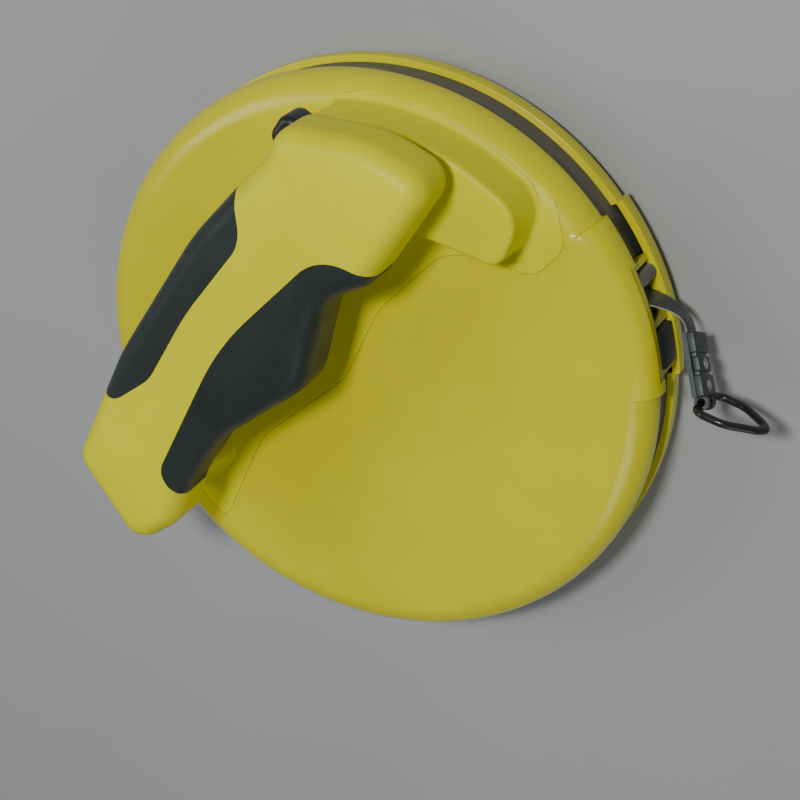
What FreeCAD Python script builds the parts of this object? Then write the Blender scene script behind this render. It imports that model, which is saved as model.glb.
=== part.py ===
"""Long tape measure with an automatic spring return, a pistol-grip handle and a fold-out winding crank.

The case lies on its back face. The reel axis is +Z through the origin, and the back face is at Z = 0.
Every length is in millimetres and every angle in degrees.
"""
import FreeCAD, Part
import math
import os

from FreeCAD import Vector

# ---- case ----
CASE_RADIUS = 108.0
CASE_WALL = 2.5
FACE_WALL = 2.7
REAR_SHELL_HEIGHT = 13.0
BAND_HEIGHT = 14.5
FRONT_SHELL_HEIGHT = 12.5
REAR_ROUND = 9.0
FRONT_ROUND = 11.0
INNER_ROUND = 6.0
BAND_DEPTH = 2.5
BAND_WALL = 2.8
BAND_SPIGOT = 3.0
SLIP_GAP = 0.1
WELL_RADIUS = 42.0
WELL_DEPTH = 9.3
WELL_FLOOR = 2.0
SCREW_CIRCLE = CASE_RADIUS - 9.0
SCREW_ANGLES = (60.0, 120.0, 180.0, 240.0, 300.0, 352.0)
BOSS_RADIUS = 3.3
SCREW_RADIUS = 1.5
SCREW_HEAD_RADIUS = 2.8
SCREW_HEAD_HEIGHT = 2.0

# ---- tape mouth ----
MOUTH_STEP = 2.0
MOUTH_STEP_ANGLES = (-1.0, 33.8)
MOUTH_FRAME_ANGLES = (1.2, 23.5)
MOUTH_FRAME_DEPTH = 7.0
MOUTH_RAIL = 0.45
MOUTH_END_WALL_ANGLE = 1.0
MOUTH_LIP_ANGLE = 11.6
BUMPER_ANGLES = (1.7, 10.4)
BUMPER_RAIL = 1.5
BUMPER_SEAT_RADIUS = CASE_RADIUS - 3.5
ROLLER_RADIUS = 3.0
ROLLER_PIN_RADIUS = 1.2
ROLLER_SETBACK = 5.0
ROLLER_GAP = 0.5

# ---- tape ----
TAPE_WIDTH = 13.0
TAPE_THICKNESS = 0.4
COIL_OUTER_RADIUS = CASE_RADIUS - 16.0
EXIT_ANGLE = 16.5
EXIT_DEPTH = 2.6
TAIL_SPARE = 0.35
TAPE_PULL = 32.0

# ---- drum ----
HUB_RADIUS = 45.0
HUB_WALL = 2.5
FLANGE_RADIUS = COIL_OUTER_RADIUS + 2.0
FLANGE_THICKNESS = 1.2
WEB_THICKNESS = 3.0
JOURNAL_RADIUS = 9.0
BUSH_RADIUS = 12.0
STUB_SIDE = 12.0
STUB_LENGTH = 1.5
AXLE_RADIUS = 4.0
RUNNING_GAP = 0.05
END_GAP = 0.5

# ---- spring motor ----
GEAR_MODULE = 1.25
SUN_TEETH = 18
PLANET_TEETH = 18
RING_TEETH = 54
PLANET_COUNT = 3
GEAR_WIDTH = 5.2
GEAR_BACKLASH = 0.2
PRESSURE_ANGLE = 20.0
PLANET_PIN_RADIUS = 1.8
CARRIER_THICKNESS = 2.5
ARBOR_RADIUS = 8.5
SPRING_WIDTH = 8.8
SPRING_THICKNESS = 0.6
SPRING_TURNS = 9
CUP_WALL = 2.5
CUP_GAP = 1.5
CUP_FLOOR = 2.0
CUP_SCREW_CIRCLE = 30.0

# ---- crank ----
CRANK_HUB_RADIUS = 38.0
ARM_WIDTH = 14.0
ARM_THICKNESS = 3.2
ARM_HINGE_X = -31.0
ARM_KNOB_X = 22.0
HINGE_BARREL_RADIUS = 2.0
HINGE_PIN_RADIUS = 1.0
KNOB_RADIUS = 8.0
KNOB_HEIGHT = 3.8
KNOB_PIN_RADIUS = 2.0

# ---- handle ----
GRIP_TURN = -37.9
PLATE_THICKNESS = 1.4
PEDESTAL_HEIGHT = 18.0
PEDESTAL_RADIUS = CASE_RADIUS - 7.5
FINGER_ROOM = 24.0
GRIP_THICKNESS = 25.0
COVER_DEPTH = 17.0
GRIP_ROUND = 6.0
GRIP_WALL = 3.0
PAD_THICKNESS = 2.5
HANDLE_SIDE_U = -62.0
HEAD_START_V = 54.0
HEAD_CAVITY_V = 60.0
GRIP_CAVITY_V = (-62.0, 53.0)
SPRING_ROOM_U = -12.0
PILLAR_WALL = 2.0
HANDLE_SCREW_PLACES = ((-42.0, 35.0), (-42.0, -10.0), (-40.0, -52.0), (-20.0, 76.0))

# ---- thumb brake ----
BUTTON_TRAVEL = 3.5
BUTTON_SLACK = 0.3
BUTTON_LENGTH = 13.0
BUTTON_HEIGHT = 13.0
BUTTON_PLACE_V = 75.5
BUTTON_PROUD = 4.5
BUTTON_INNER_U = -54.0
LEVER_PIVOT_U = -44.0
LEVER_PIVOT_Z = 54.0
LEVER_UP = 12.0
LEVER_FORWARD = 7.0
LEVER_WIDTH = 7.0
LEVER_GAP = 0.8
LEVER_PIN_RADIUS = 1.5
PLUNGER_RADIUS = 2.5
PLUNGER_HEAD_RADIUS = 4.0
LEVER_HUB_RADIUS = 3.0
BRAKE_PAD_RADIUS = 6.0
BRAKE_PAD_HEIGHT = 1.8
BRAKE_PAD_GAP = 2.3
BRAKE_SPRING_WIRE = 0.6
BRAKE_SPRING_RADIUS = 3.6
BRAKE_SPRING_TURNS = 5

# ---- end clamp and ring ----
CLAMP_TOP = (CASE_RADIUS + 9.0, 17.5, 20.0)
CLAMP_ALONG = (0.27, -0.88, 0.387)
CLAMP_ACROSS = (-0.04, -0.41, -0.91)
CLAMP_WIDTH = 16.8
CLAMP_THICKNESS = 3.0
CLAMP_BLOCK_LENGTHS = (7.2, 5.2, 7.4)
CLAMP_NECK_LENGTH = 1.2
CLAMP_NECK_WIDTH = 13.4
CLAMP_BACK_THICKNESS = 1.4
NECK_DROP = 0.8
RIVET_HEAD_HEIGHT = 0.7
RIVET_HEAD_LIP = 0.6
RIVET_RADIUS = 1.4
RING_LENGTH = 26.5
RING_WIDTH = 20.0
RING_WIRE_RADIUS = 1.4
RING_CLEARANCE = 0.4
RING_SWING = 53.0
EAR_WALL = 1.2
EAR_WIDTH = 3.0
EAR_OFFSET = 3.5
RING_PIVOT_LIFT = 0.6

# ---- heights worked out from the sizes above ----
BAND_LOW = REAR_SHELL_HEIGHT
BAND_HIGH = BAND_LOW + BAND_HEIGHT
FACE_Z = BAND_HIGH + FRONT_SHELL_HEIGHT
FACE_INNER_Z = FACE_Z - FACE_WALL
PLATE_Z = FACE_Z - PLATE_THICKNESS
TAPE_MID_Z = (BAND_LOW + BAND_HIGH) / 2
TAPE_LOW_Z = TAPE_MID_Z - TAPE_WIDTH / 2
TAPE_HIGH_Z = TAPE_MID_Z + TAPE_WIDTH / 2
FLANGE_PLAY = 0.35
REAR_FLANGE_Z = TAPE_LOW_Z - FLANGE_PLAY - FLANGE_THICKNESS
FRONT_FLANGE_Z = TAPE_HIGH_Z + FLANGE_PLAY
DRUM_LOW_Z = REAR_FLANGE_Z
DRUM_HIGH_Z = FRONT_FLANGE_Z + FLANGE_THICKNESS
WEB_TOP_Z = DRUM_LOW_Z + WEB_THICKNESS
WELL_TOP_Z = WELL_DEPTH + WELL_FLOOR
GEAR_LOW_Z = WEB_TOP_Z + END_GAP
GEAR_HIGH_Z = GEAR_LOW_Z + GEAR_WIDTH
CARRIER_Z = GEAR_HIGH_Z + END_GAP
SPRING_LOW_Z = CARRIER_Z + CARRIER_THICKNESS + END_GAP
CUP_FLOOR_Z = SPRING_LOW_Z + SPRING_WIDTH + END_GAP
CUP_RADIUS = HUB_RADIUS - HUB_WALL - CUP_GAP
CUP_BORE = CUP_RADIUS - CUP_WALL
PEDESTAL_Z = FACE_Z + PEDESTAL_HEIGHT
GRIP_LOW_Z = FACE_Z + FINGER_ROOM
GRIP_HIGH_Z = GRIP_LOW_Z + GRIP_THICKNESS
SPLIT_Z = GRIP_HIGH_Z - COVER_DEPTH
HUB_DISC_LOW = 1.0
HUB_DISC_HIGH = WELL_DEPTH - END_GAP
ARM_LOW = HUB_DISC_LOW + 0.2
ARM_HIGH = ARM_LOW + ARM_THICKNESS
ARM_MID = (ARM_LOW + ARM_HIGH) / 2
STUB_LOW = HUB_DISC_HIGH + 0.1 - STUB_LENGTH
WHOLE = 400.0


def cylinder(radius, low, high, x=0.0, y=0.0):
    return Part.makeCylinder(radius, high - low, Vector(x, y, low))


def ring(outer, inner, low, high, x=0.0, y=0.0):
    return cylinder(outer, low, high, x, y).cut(cylinder(inner, low - 1, high + 1, x, y))


def block(low, high):
    size = [b - a for a, b in zip(low, high)]
    return Part.makeBox(size[0], size[1], size[2], Vector(*low))


def polar(radius, angle):
    return radius * math.cos(math.radians(angle)), radius * math.sin(math.radians(angle))


TAPE_EXIT = polar(CASE_RADIUS - EXIT_DEPTH, EXIT_ANGLE)


def sector(angles, low, high, radius=WHOLE):
    """A pie slice about the reel axis, used to keep or cut one stretch of the rim."""
    slice_ = Part.makeCylinder(radius, high - low, Vector(0, 0, low), Vector(0, 0, 1), angles[1] - angles[0])
    slice_.rotate(Vector(0, 0, 0), Vector(0, 0, 1), angles[0])
    return slice_


def round_edges(shape, radius, height):
    """Fillet every edge that lies flat at one height."""
    edges = [e for e in shape.Edges if abs(e.BoundBox.ZMin - height) < 1e-4 and abs(e.BoundBox.ZMax - height) < 1e-4]
    return shape.makeFillet(radius, edges)


def outline(corners):
    """A closed wire through corners (x, y, radius), with each corner rounded by a tangent arc."""
    count = len(corners)
    stretches = []
    for i in range(count):
        here = Vector(corners[i][0], corners[i][1], 0)
        before = Vector(corners[i - 1][0], corners[i - 1][1], 0)
        after = Vector(corners[(i + 1) % count][0], corners[(i + 1) % count][1], 0)
        back = (before - here).normalize()
        on = (after - here).normalize()
        half = back.getAngle(on) / 2
        radius = corners[i][2]
        reach = radius / math.tan(half)
        middle = here + (back + on).normalize() * (radius / math.sin(half) - radius)
        stretches.append((here + back * reach, middle, here + on * reach, radius))
    edges = []
    for i in range(count):
        start, middle, end, radius = stretches[i]
        if radius > 0:
            edges.append(Part.Arc(start, middle, end).toShape())
        next_start = stretches[(i + 1) % count][0]
        if (next_start - end).Length > 1e-6:
            edges.append(Part.LineSegment(end, next_start).toShape())
    return Part.Wire(edges)


def prism(wire, low, high, inset=0.0):
    face = Part.Face(wire)
    if inset:
        face = Part.Face(face.makeOffset2D(-inset).OuterWire)
    solid = face.extrude(Vector(0, 0, high - low))
    solid.translate(Vector(0, 0, low))
    return solid


def turned(shape):
    """Turn a shape drawn in the handle's own frame (u across the grip, v along it) into the case frame."""
    shape.rotate(Vector(0, 0, 0), Vector(0, 0, 1), GRIP_TURN)
    return shape


def handle_point(u, v, z=0.0):
    turn = math.radians(GRIP_TURN)
    return Vector(u * math.cos(turn) - v * math.sin(turn), u * math.sin(turn) + v * math.cos(turn), z)


def fused(shapes):
    whole = shapes[0].fuse(shapes[1:])
    return whole.removeSplitter()


# ---- handle outlines, in the handle's own frame ----
GRIP_OUTLINE = outline((
    (-8.5, 103.5, 8), (-35.0, 100.0, 70), (-62.0, 83.5, 8), (-62.0, 66.0, 60), (-67.5, 30.0, 90),
    (-68.0, -30.0, 90), (-61.5, -80.0, 7), (-24.0, -94.5, 7), (-16.5, -74.0, 14), (-21.0, -58.0, 14),
    (-21.0, -32.0, 40), (-6.5, 9.0, 18), (-17.5, 43.0, 14), (-8.5, 58.0, 9)))
HEAD_ONLY = block((-WHOLE, HEAD_START_V, 0), (WHOLE, WHOLE, WHOLE))
PALM_REGION = outline((
    (-90.0, 55.0, 0), (-60.0, 53.0, 6), (-51.5, 42.0, 12), (-54.0, 5.0, 90), (-53.0, -27.0, 14),
    (-60.0, -46.0, 5), (-90.0, -48.0, 0)))
FINGER_REGION = outline((
    (20.0, 66.0, 0), (-10.0, 62.5, 12), (-27.0, 57.0, 12), (-37.0, 2.0, 90), (-32.0, -56.0, 8),
    (-22.0, -60.0, 3), (20.0, -62.0, 0)))
PEDESTAL_OUTLINE = outline((
    (-60.5, PEDESTAL_RADIUS + 3.5, 0), (4.0, PEDESTAL_RADIUS + 3.5, 6), (19.5, PEDESTAL_RADIUS - 10.5, 6), (19.0, 77.5, 6), (-12.0, 67.5, 6), (-60.5, 56.0, 4)))
FOOT_OUTLINE = outline((
    (-58.0, -66.0, 5), (-57.0, -82.0, 5), (-24.0, -92.0, 5), (-20.5, -66.0, 5)))
PLATE_OUTLINE = outline((
    (-8.0, 94.0, 0), (-8.0, 110.0, 0), (70.0, 110.0, 0), (80.0, 70.0, 8), (80.0, 52.0, 9), (67.0, 41.5, 9),
    (50.0, 47.0, 14), (35.0, 46.0, 12), (9.0, 24.0, 26), (-7.0, -4.0, 22), (-45.0, -32.0, 22),
    (-66.0, -70.0, 0), (-84.0, -56.0, 0), (-44.0, 34.0, 30)))


def shell_outer(low, high, edge_round, at_top, radius):
    solid = cylinder(radius, low, high)
    return round_edges(solid, edge_round, high if at_top else low)


def screw_bosses(low, high):
    return [cylinder(BOSS_RADIUS, low, high, *polar(SCREW_CIRCLE, angle)) for angle in SCREW_ANGLES]


def case_holes(radius, low, high):
    return [cylinder(radius, low, high, *polar(SCREW_CIRCLE, angle)) for angle in SCREW_ANGLES]


def make_rear_shell():
    outer = shell_outer(0, BAND_LOW, REAR_ROUND, False, CASE_RADIUS)
    step = shell_outer(0, BAND_LOW, REAR_ROUND, False, CASE_RADIUS + MOUTH_STEP)
    outer = outer.fuse(step.common(sector(MOUTH_STEP_ANGLES, 0, BAND_LOW)))
    inner = shell_outer(CASE_WALL, BAND_LOW + 10, INNER_ROUND, False, CASE_RADIUS - CASE_WALL)
    shell = outer.cut(inner)
    shell = shell.fuse([cylinder(WELL_RADIUS + CASE_WALL, 0, WELL_TOP_Z)] + screw_bosses(CASE_WALL, TAPE_MID_Z))
    holes = [cylinder(WELL_RADIUS, -1, WELL_DEPTH), cylinder(BUSH_RADIUS, 0, WELL_TOP_Z + 1)]
    holes += case_holes(SCREW_RADIUS + SLIP_GAP, -1, TAPE_MID_Z + 1)
    holes += case_holes(SCREW_HEAD_RADIUS + SLIP_GAP, -1, HUB_DISC_LOW + SCREW_HEAD_HEIGHT)
    return shell.cut(holes)


def front_outer():
    outer = shell_outer(BAND_HIGH, FACE_Z, FRONT_ROUND, True, CASE_RADIUS)
    step = shell_outer(BAND_HIGH, FACE_Z, FRONT_ROUND, True, CASE_RADIUS + MOUTH_STEP)
    return outer.fuse(step.common(sector(MOUTH_STEP_ANGLES, BAND_HIGH, FACE_Z)))


def plunger_place():
    return handle_point(LEVER_PIVOT_U + LEVER_FORWARD, BUTTON_PLACE_V)


def make_front_shell():
    inner = shell_outer(BAND_HIGH - 10, FACE_INNER_Z, INNER_ROUND, True, CASE_RADIUS - CASE_WALL)
    shell = front_outer().cut(inner)
    pad = ring(CUP_SCREW_CIRCLE + 5, CUP_SCREW_CIRCLE - 5, CUP_FLOOR_Z + CUP_FLOOR, FACE_INNER_Z)
    boss = cylinder(AXLE_RADIUS + 5, CUP_FLOOR_Z + CUP_FLOOR, FACE_INNER_Z)
    shell = shell.fuse([pad, boss] + screw_bosses(TAPE_MID_Z + SLIP_GAP, FACE_INNER_Z))
    holes = [prism(PLATE_OUTLINE, PLATE_Z, FACE_Z + 5)]
    holes += case_holes(SCREW_RADIUS, TAPE_MID_Z - 1, FACE_INNER_Z - 4)
    holes += cup_screw_cylinders(SCREW_RADIUS, CUP_FLOOR_Z, PLATE_Z - 0.4)
    holes.append(cylinder(AXLE_RADIUS, CUP_FLOOR_Z, FACE_INNER_Z))
    spot = plunger_place()
    holes.append(cylinder(PLUNGER_RADIUS + RUNNING_GAP, FACE_INNER_Z - 1, FACE_Z, spot.x, spot.y))
    return shell.cut(holes)


def make_rim_band():
    outer = CASE_RADIUS - BAND_DEPTH - SLIP_GAP
    band = ring(outer, outer - BAND_WALL, BAND_LOW - BAND_SPIGOT, BAND_HIGH + BAND_SPIGOT)
    return band.cut(sector(MOUTH_FRAME_ANGLES, 0, FACE_Z))


def case_screw_set():
    screws = []
    for angle in SCREW_ANGLES:
        x, y = polar(SCREW_CIRCLE, angle)
        head = cylinder(SCREW_HEAD_RADIUS, HUB_DISC_LOW, HUB_DISC_LOW + SCREW_HEAD_HEIGHT, x, y)
        shank = cylinder(SCREW_RADIUS, HUB_DISC_LOW + SCREW_HEAD_HEIGHT, FACE_INNER_Z - 6, x, y)
        screws.append(fused([head, shank]))
    return Part.makeCompound(screws)


# ---- mouth ----
def tape_heading():
    """The tape leaves the coil on a tangent that passes through its exit point."""
    x, y = TAPE_EXIT
    reach = math.hypot(x, y)
    tangent_angle = math.atan2(y, x) + math.acos(COIL_OUTER_RADIUS / reach)
    return Vector(math.sin(tangent_angle), -math.cos(tangent_angle), 0)


def roller_centre():
    along = tape_heading()
    above = Vector(-along.y, along.x, 0)
    lift = ROLLER_RADIUS + TAPE_THICKNESS / 2 + ROLLER_GAP
    return Vector(*TAPE_EXIT, 0) + above * lift - along * ROLLER_SETBACK


def make_mouth_frame():
    outer = CASE_RADIUS + MOUTH_STEP - 0.6
    inner = outer - MOUTH_FRAME_DEPTH
    frame = ring(outer, inner, BAND_LOW, BAND_HIGH).common(sector(MOUTH_FRAME_ANGLES, 0, FACE_Z))
    window = ring(outer + 5, inner - 5, BAND_LOW + MOUTH_RAIL, BAND_HIGH - MOUTH_RAIL)
    window_angles = (MOUTH_LIP_ANGLE, MOUTH_FRAME_ANGLES[1] - MOUTH_END_WALL_ANGLE)
    window = window.common(sector(window_angles, 0, FACE_Z))
    pocket = ring(outer + 5, BUMPER_SEAT_RADIUS, BAND_LOW + BUMPER_RAIL, BAND_HIGH + 1)
    pocket = pocket.common(sector(BUMPER_ANGLES, 0, FACE_Z))
    centre = roller_centre()
    pin_hole = cylinder(ROLLER_PIN_RADIUS, 0, FACE_Z, centre.x, centre.y)
    return frame.cut([window, pocket, pin_hole])


def make_mouth_bumper():
    gap = 0.15
    angles = (BUMPER_ANGLES[0] + gap, BUMPER_ANGLES[1] - gap)
    bumper = ring(CASE_RADIUS + MOUTH_STEP, BUMPER_SEAT_RADIUS, BAND_LOW + BUMPER_RAIL, BAND_HIGH)
    return bumper.common(sector(angles, 0, FACE_Z))


def make_guide_roller():
    centre = roller_centre()
    low = BAND_LOW + MOUTH_RAIL + 0.2
    high = BAND_HIGH - MOUTH_RAIL - 0.2
    return ring(ROLLER_RADIUS, ROLLER_PIN_RADIUS + RUNNING_GAP, low, high, centre.x, centre.y)


def make_roller_pin():
    centre = roller_centre()
    return cylinder(ROLLER_PIN_RADIUS, BAND_LOW, BAND_HIGH, centre.x, centre.y)


# ---- reel ----
def make_drum():
    web = cylinder(HUB_RADIUS, DRUM_LOW_Z, WEB_TOP_Z)
    wall = ring(HUB_RADIUS, HUB_RADIUS - HUB_WALL, DRUM_LOW_Z, DRUM_HIGH_Z)
    journal = cylinder(JOURNAL_RADIUS, HUB_DISC_HIGH + 0.1, DRUM_LOW_Z)
    half = STUB_SIDE / 2
    stub = block((-half, -half, STUB_LOW), (half, half, HUB_DISC_HIGH + 0.1))
    drum = fused([web, wall, journal, stub])
    axle_hole = cylinder(AXLE_RADIUS + RUNNING_GAP, DRUM_LOW_Z + 0.2, WEB_TOP_Z + 1)
    screw_hole = cylinder(SCREW_RADIUS, 0, DRUM_LOW_Z)
    return drum.cut([axle_hole, screw_hole])


def make_flange(low):
    flange = ring(FLANGE_RADIUS, HUB_RADIUS, low, low + FLANGE_THICKNESS)
    windows = []
    for angle in range(0, 360, 60):
        window = ring(FLANGE_RADIUS - 14, HUB_RADIUS + 9, low - 1, low + FLANGE_THICKNESS + 1)
        windows.append(window.common(sector((angle + 12, angle + 48), low - 1, low + FLANGE_THICKNESS + 1)))
    return flange.cut(windows)


def make_tape_coil():
    return ring(COIL_OUTER_RADIUS, HUB_RADIUS, TAPE_LOW_Z, TAPE_HIGH_Z)


# ---- spring motor ----
def involute_side(base, radius, tooth_half_angle, pitch_radius):
    """The polar angle, from the middle of a tooth, of an involute flank at a radius."""
    def involute(r):
        steep = math.sqrt(max((r / base) ** 2 - 1, 0.0))
        return steep - math.atan(steep)
    return tooth_half_angle + involute(pitch_radius) - involute(max(radius, base))


def gear_wire(teeth, root, tip, thinning, phase=0.0):
    """A gear outline: straight flats at root and tip, joined by sampled involute flanks."""
    pitch_radius = GEAR_MODULE * teeth / 2
    base = pitch_radius * math.cos(math.radians(PRESSURE_ANGLE))
    half = math.pi / (2 * teeth) - thinning / (2 * pitch_radius)
    steps = 6
    points = []
    for tooth in range(teeth):
        middle = math.radians(phase) + 2 * math.pi * tooth / teeth
        radii = [root + (tip - root) * i / (steps - 1) for i in range(steps)]
        rising = [(r, middle - involute_side(base, r, half, pitch_radius)) for r in radii]
        falling = [(r, middle + involute_side(base, r, half, pitch_radius)) for r in reversed(radii)]
        points += [Vector(r * math.cos(a), r * math.sin(a), 0) for r, a in rising + falling]
    return Part.makePolygon(points + [points[0]])


def external_gear(teeth, bore, phase=0.0):
    pitch_radius = GEAR_MODULE * teeth / 2
    wire = gear_wire(teeth, pitch_radius - 1.25 * GEAR_MODULE, pitch_radius + GEAR_MODULE, GEAR_BACKLASH, phase)
    gear = prism(wire, GEAR_LOW_Z, GEAR_HIGH_Z)
    return gear.cut(cylinder(bore, GEAR_LOW_Z - 1, GEAR_HIGH_Z + 1))


def make_sun_gear():
    collar = ring(AXLE_RADIUS + 3, AXLE_RADIUS + 0.4, WEB_TOP_Z, GEAR_LOW_Z)
    return fused([external_gear(SUN_TEETH, AXLE_RADIUS + 0.4), collar])


def planet_orbit():
    return GEAR_MODULE * (SUN_TEETH + PLANET_TEETH) / 2


def planet_angles():
    return [360.0 * i / PLANET_COUNT for i in range(PLANET_COUNT)]


def make_planet(angle):
    gear = external_gear(PLANET_TEETH, PLANET_PIN_RADIUS + RUNNING_GAP, 180.0 / PLANET_TEETH)
    gear.translate(Vector(planet_orbit(), 0, 0))
    gear.rotate(Vector(0, 0, 0), Vector(0, 0, 1), angle)
    return gear


def make_ring_gear():
    pitch_radius = GEAR_MODULE * RING_TEETH / 2
    gap_wire = gear_wire(RING_TEETH, pitch_radius - 0.9 * GEAR_MODULE, pitch_radius + 1.25 * GEAR_MODULE,
                         -GEAR_BACKLASH, 180.0 / RING_TEETH)
    return cylinder(CUP_BORE, GEAR_LOW_Z, GEAR_HIGH_Z).cut(prism(gap_wire, GEAR_LOW_Z - 1, GEAR_HIGH_Z + 1))


def make_carrier():
    plate = cylinder(planet_orbit() + 5, CARRIER_Z, CARRIER_Z + CARRIER_THICKNESS)
    arbor = cylinder(ARBOR_RADIUS, CARRIER_Z, CUP_FLOOR_Z - END_GAP)
    holes = [cylinder(AXLE_RADIUS + RUNNING_GAP, CARRIER_Z - 1, CUP_FLOOR_Z)]
    for angle in planet_angles():
        holes.append(cylinder(PLANET_PIN_RADIUS, CARRIER_Z - 1, CUP_FLOOR_Z, *polar(planet_orbit(), angle)))
    return fused([plate, arbor]).cut(holes)


def make_planet_pins():
    high = CARRIER_Z + CARRIER_THICKNESS
    return Part.makeCompound([cylinder(PLANET_PIN_RADIUS, GEAR_LOW_Z, high, *polar(planet_orbit(), angle))
                              for angle in planet_angles()])


def make_mainspring():
    """A flat spiral strip, its outer end against the cup wall and its inner end beside the arbor."""
    inner = ARBOR_RADIUS + 0.6
    outer = CUP_BORE - SPRING_THICKNESS - 0.3
    steps = SPRING_TURNS * 12
    near = []
    far = []
    for i in range(steps + 1):
        angle = 2 * math.pi * SPRING_TURNS * i / steps
        radius = inner + (outer - inner) * i / steps
        direction = Vector(math.cos(angle), math.sin(angle), 0)
        near.append(direction * radius)
        far.append(direction * (radius + SPRING_THICKNESS))
    near_curve = Part.BSplineCurve()
    near_curve.interpolate(near)
    far_curve = Part.BSplineCurve()
    far_curve.interpolate(far)
    ends = [Part.makeLine(near[0], far[0]), Part.makeLine(near[-1], far[-1])]
    wire = Part.Wire(Part.__sortEdges__([near_curve.toShape(), far_curve.toShape()] + ends))
    return prism(wire, SPRING_LOW_Z, SPRING_LOW_Z + SPRING_WIDTH)


def cup_screw_cylinders(radius, low, high):
    return [cylinder(radius, low, high, *polar(CUP_SCREW_CIRCLE, angle)) for angle in (30, 150, 270)]


def make_spring_cup():
    skirt = ring(CUP_RADIUS, CUP_BORE, GEAR_LOW_Z, CUP_FLOOR_Z)
    floor = cylinder(CUP_RADIUS, CUP_FLOOR_Z, CUP_FLOOR_Z + CUP_FLOOR)
    holes = [cylinder(AXLE_RADIUS, CUP_FLOOR_Z - 1, FACE_Z)]
    holes += cup_screw_cylinders(SCREW_RADIUS, CUP_FLOOR_Z - 1, FACE_Z)
    holes += cup_screw_cylinders(SCREW_HEAD_RADIUS, CUP_FLOOR_Z - 1, CUP_FLOOR_Z + 1)
    return fused([skirt, floor]).cut(holes)


def make_cup_screws():
    heads = cup_screw_cylinders(SCREW_HEAD_RADIUS, CUP_FLOOR_Z, CUP_FLOOR_Z + 1)
    shanks = cup_screw_cylinders(SCREW_RADIUS, CUP_FLOOR_Z + 1, PLATE_Z - 1)
    return Part.makeCompound([fused([head, shank]) for head, shank in zip(heads, shanks)])


def make_axle_pin():
    return cylinder(AXLE_RADIUS, DRUM_LOW_Z + 0.4, FACE_INNER_Z)


def make_rear_bush():
    return ring(BUSH_RADIUS, JOURNAL_RADIUS + RUNNING_GAP, WELL_DEPTH, WELL_TOP_Z)


# ---- crank ----
def make_crank_hub():
    disc = cylinder(CRANK_HUB_RADIUS, HUB_DISC_LOW, HUB_DISC_HIGH)
    half = STUB_SIDE / 2
    slot_half = ARM_WIDTH / 2 + 0.5
    slot = block((-WHOLE, -slot_half, 0), (ARM_KNOB_X, slot_half, ARM_HIGH + 0.4))
    slot_end = cylinder(slot_half, 0, ARM_HIGH + 0.4, ARM_KNOB_X, 0)
    knob_hole = cylinder(KNOB_RADIUS + 0.8, 0, HUB_DISC_HIGH + 1, ARM_KNOB_X, 0)
    barrel_room = block((-WHOLE, -slot_half, 0), (ARM_HINGE_X + 3.2, slot_half, ARM_MID + 3.2))
    pin_hole = Part.makeCylinder(HINGE_PIN_RADIUS, 22, Vector(ARM_HINGE_X, -11, ARM_MID), Vector(0, 1, 0))
    socket = block((-half, -half, STUB_LOW), (half, half, WELL_DEPTH))
    head_room = cylinder(SCREW_HEAD_RADIUS + 1, 0, ARM_HIGH + 0.4 + 1.4)
    shank_hole = cylinder(SCREW_RADIUS, 0, WELL_DEPTH)
    return disc.cut([slot, slot_end, knob_hole, barrel_room, pin_hole, socket, head_room, shank_hole])


def make_hub_screw():
    head_low = ARM_HIGH + 0.4
    head = cylinder(SCREW_HEAD_RADIUS + 1, head_low, head_low + 1.4)
    shank = cylinder(SCREW_RADIUS, head_low + 1.4, DRUM_LOW_Z - 0.4)
    return fused([head, shank])


def make_crank_arm():
    half = ARM_WIDTH / 2
    bar = block((ARM_HINGE_X, -half, ARM_LOW), (ARM_KNOB_X, half, ARM_HIGH))
    tip = cylinder(half, ARM_LOW, ARM_HIGH, ARM_KNOB_X, 0)
    barrel = Part.makeCylinder(HINGE_BARREL_RADIUS, ARM_WIDTH, Vector(ARM_HINGE_X, -half, ARM_MID), Vector(0, 1, 0))
    bore = Part.makeCylinder(HINGE_PIN_RADIUS + RUNNING_GAP, 22, Vector(ARM_HINGE_X, -11, ARM_MID), Vector(0, 1, 0))
    knob_hole = cylinder(KNOB_PIN_RADIUS, 0, WELL_DEPTH, ARM_KNOB_X, 0)
    return fused([bar, tip, barrel]).cut([bore, knob_hole])


def make_crank_hinge_pin():
    return Part.makeCylinder(HINGE_PIN_RADIUS, 20, Vector(ARM_HINGE_X, -10, ARM_MID), Vector(0, 1, 0))


def make_knob_pin():
    top = ARM_HIGH + 0.3 + KNOB_HEIGHT
    shank = cylinder(KNOB_PIN_RADIUS, ARM_LOW, top - 1.0, ARM_KNOB_X, 0)
    head = cylinder(KNOB_PIN_RADIUS + 1.5, top - 1.0, top - 0.2, ARM_KNOB_X, 0)
    return fused([shank, head])


def make_crank_knob():
    low = ARM_HIGH + 0.3
    top = low + KNOB_HEIGHT
    knob = round_edges(cylinder(KNOB_RADIUS, low, top, ARM_KNOB_X, 0), 1.0, top)
    bore = cylinder(KNOB_PIN_RADIUS + RUNNING_GAP, low - 1, top + 1, ARM_KNOB_X, 0)
    head_room = cylinder(KNOB_PIN_RADIUS + 1.8, top - 1.3, top + 1, ARM_KNOB_X, 0)
    return knob.cut([bore, head_room])


# ---- handle ----
def grip_block(inset=0.0, low=GRIP_LOW_Z, high=GRIP_HIGH_Z):
    return prism(GRIP_OUTLINE, low, high, inset)


def grip_solid():
    body = grip_block()
    body = round_edges(body, GRIP_ROUND, GRIP_HIGH_Z)
    head = grip_block(0.0, PEDESTAL_Z, GRIP_LOW_Z + 1).common(HEAD_ONLY)
    return body.fuse(head)


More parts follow.
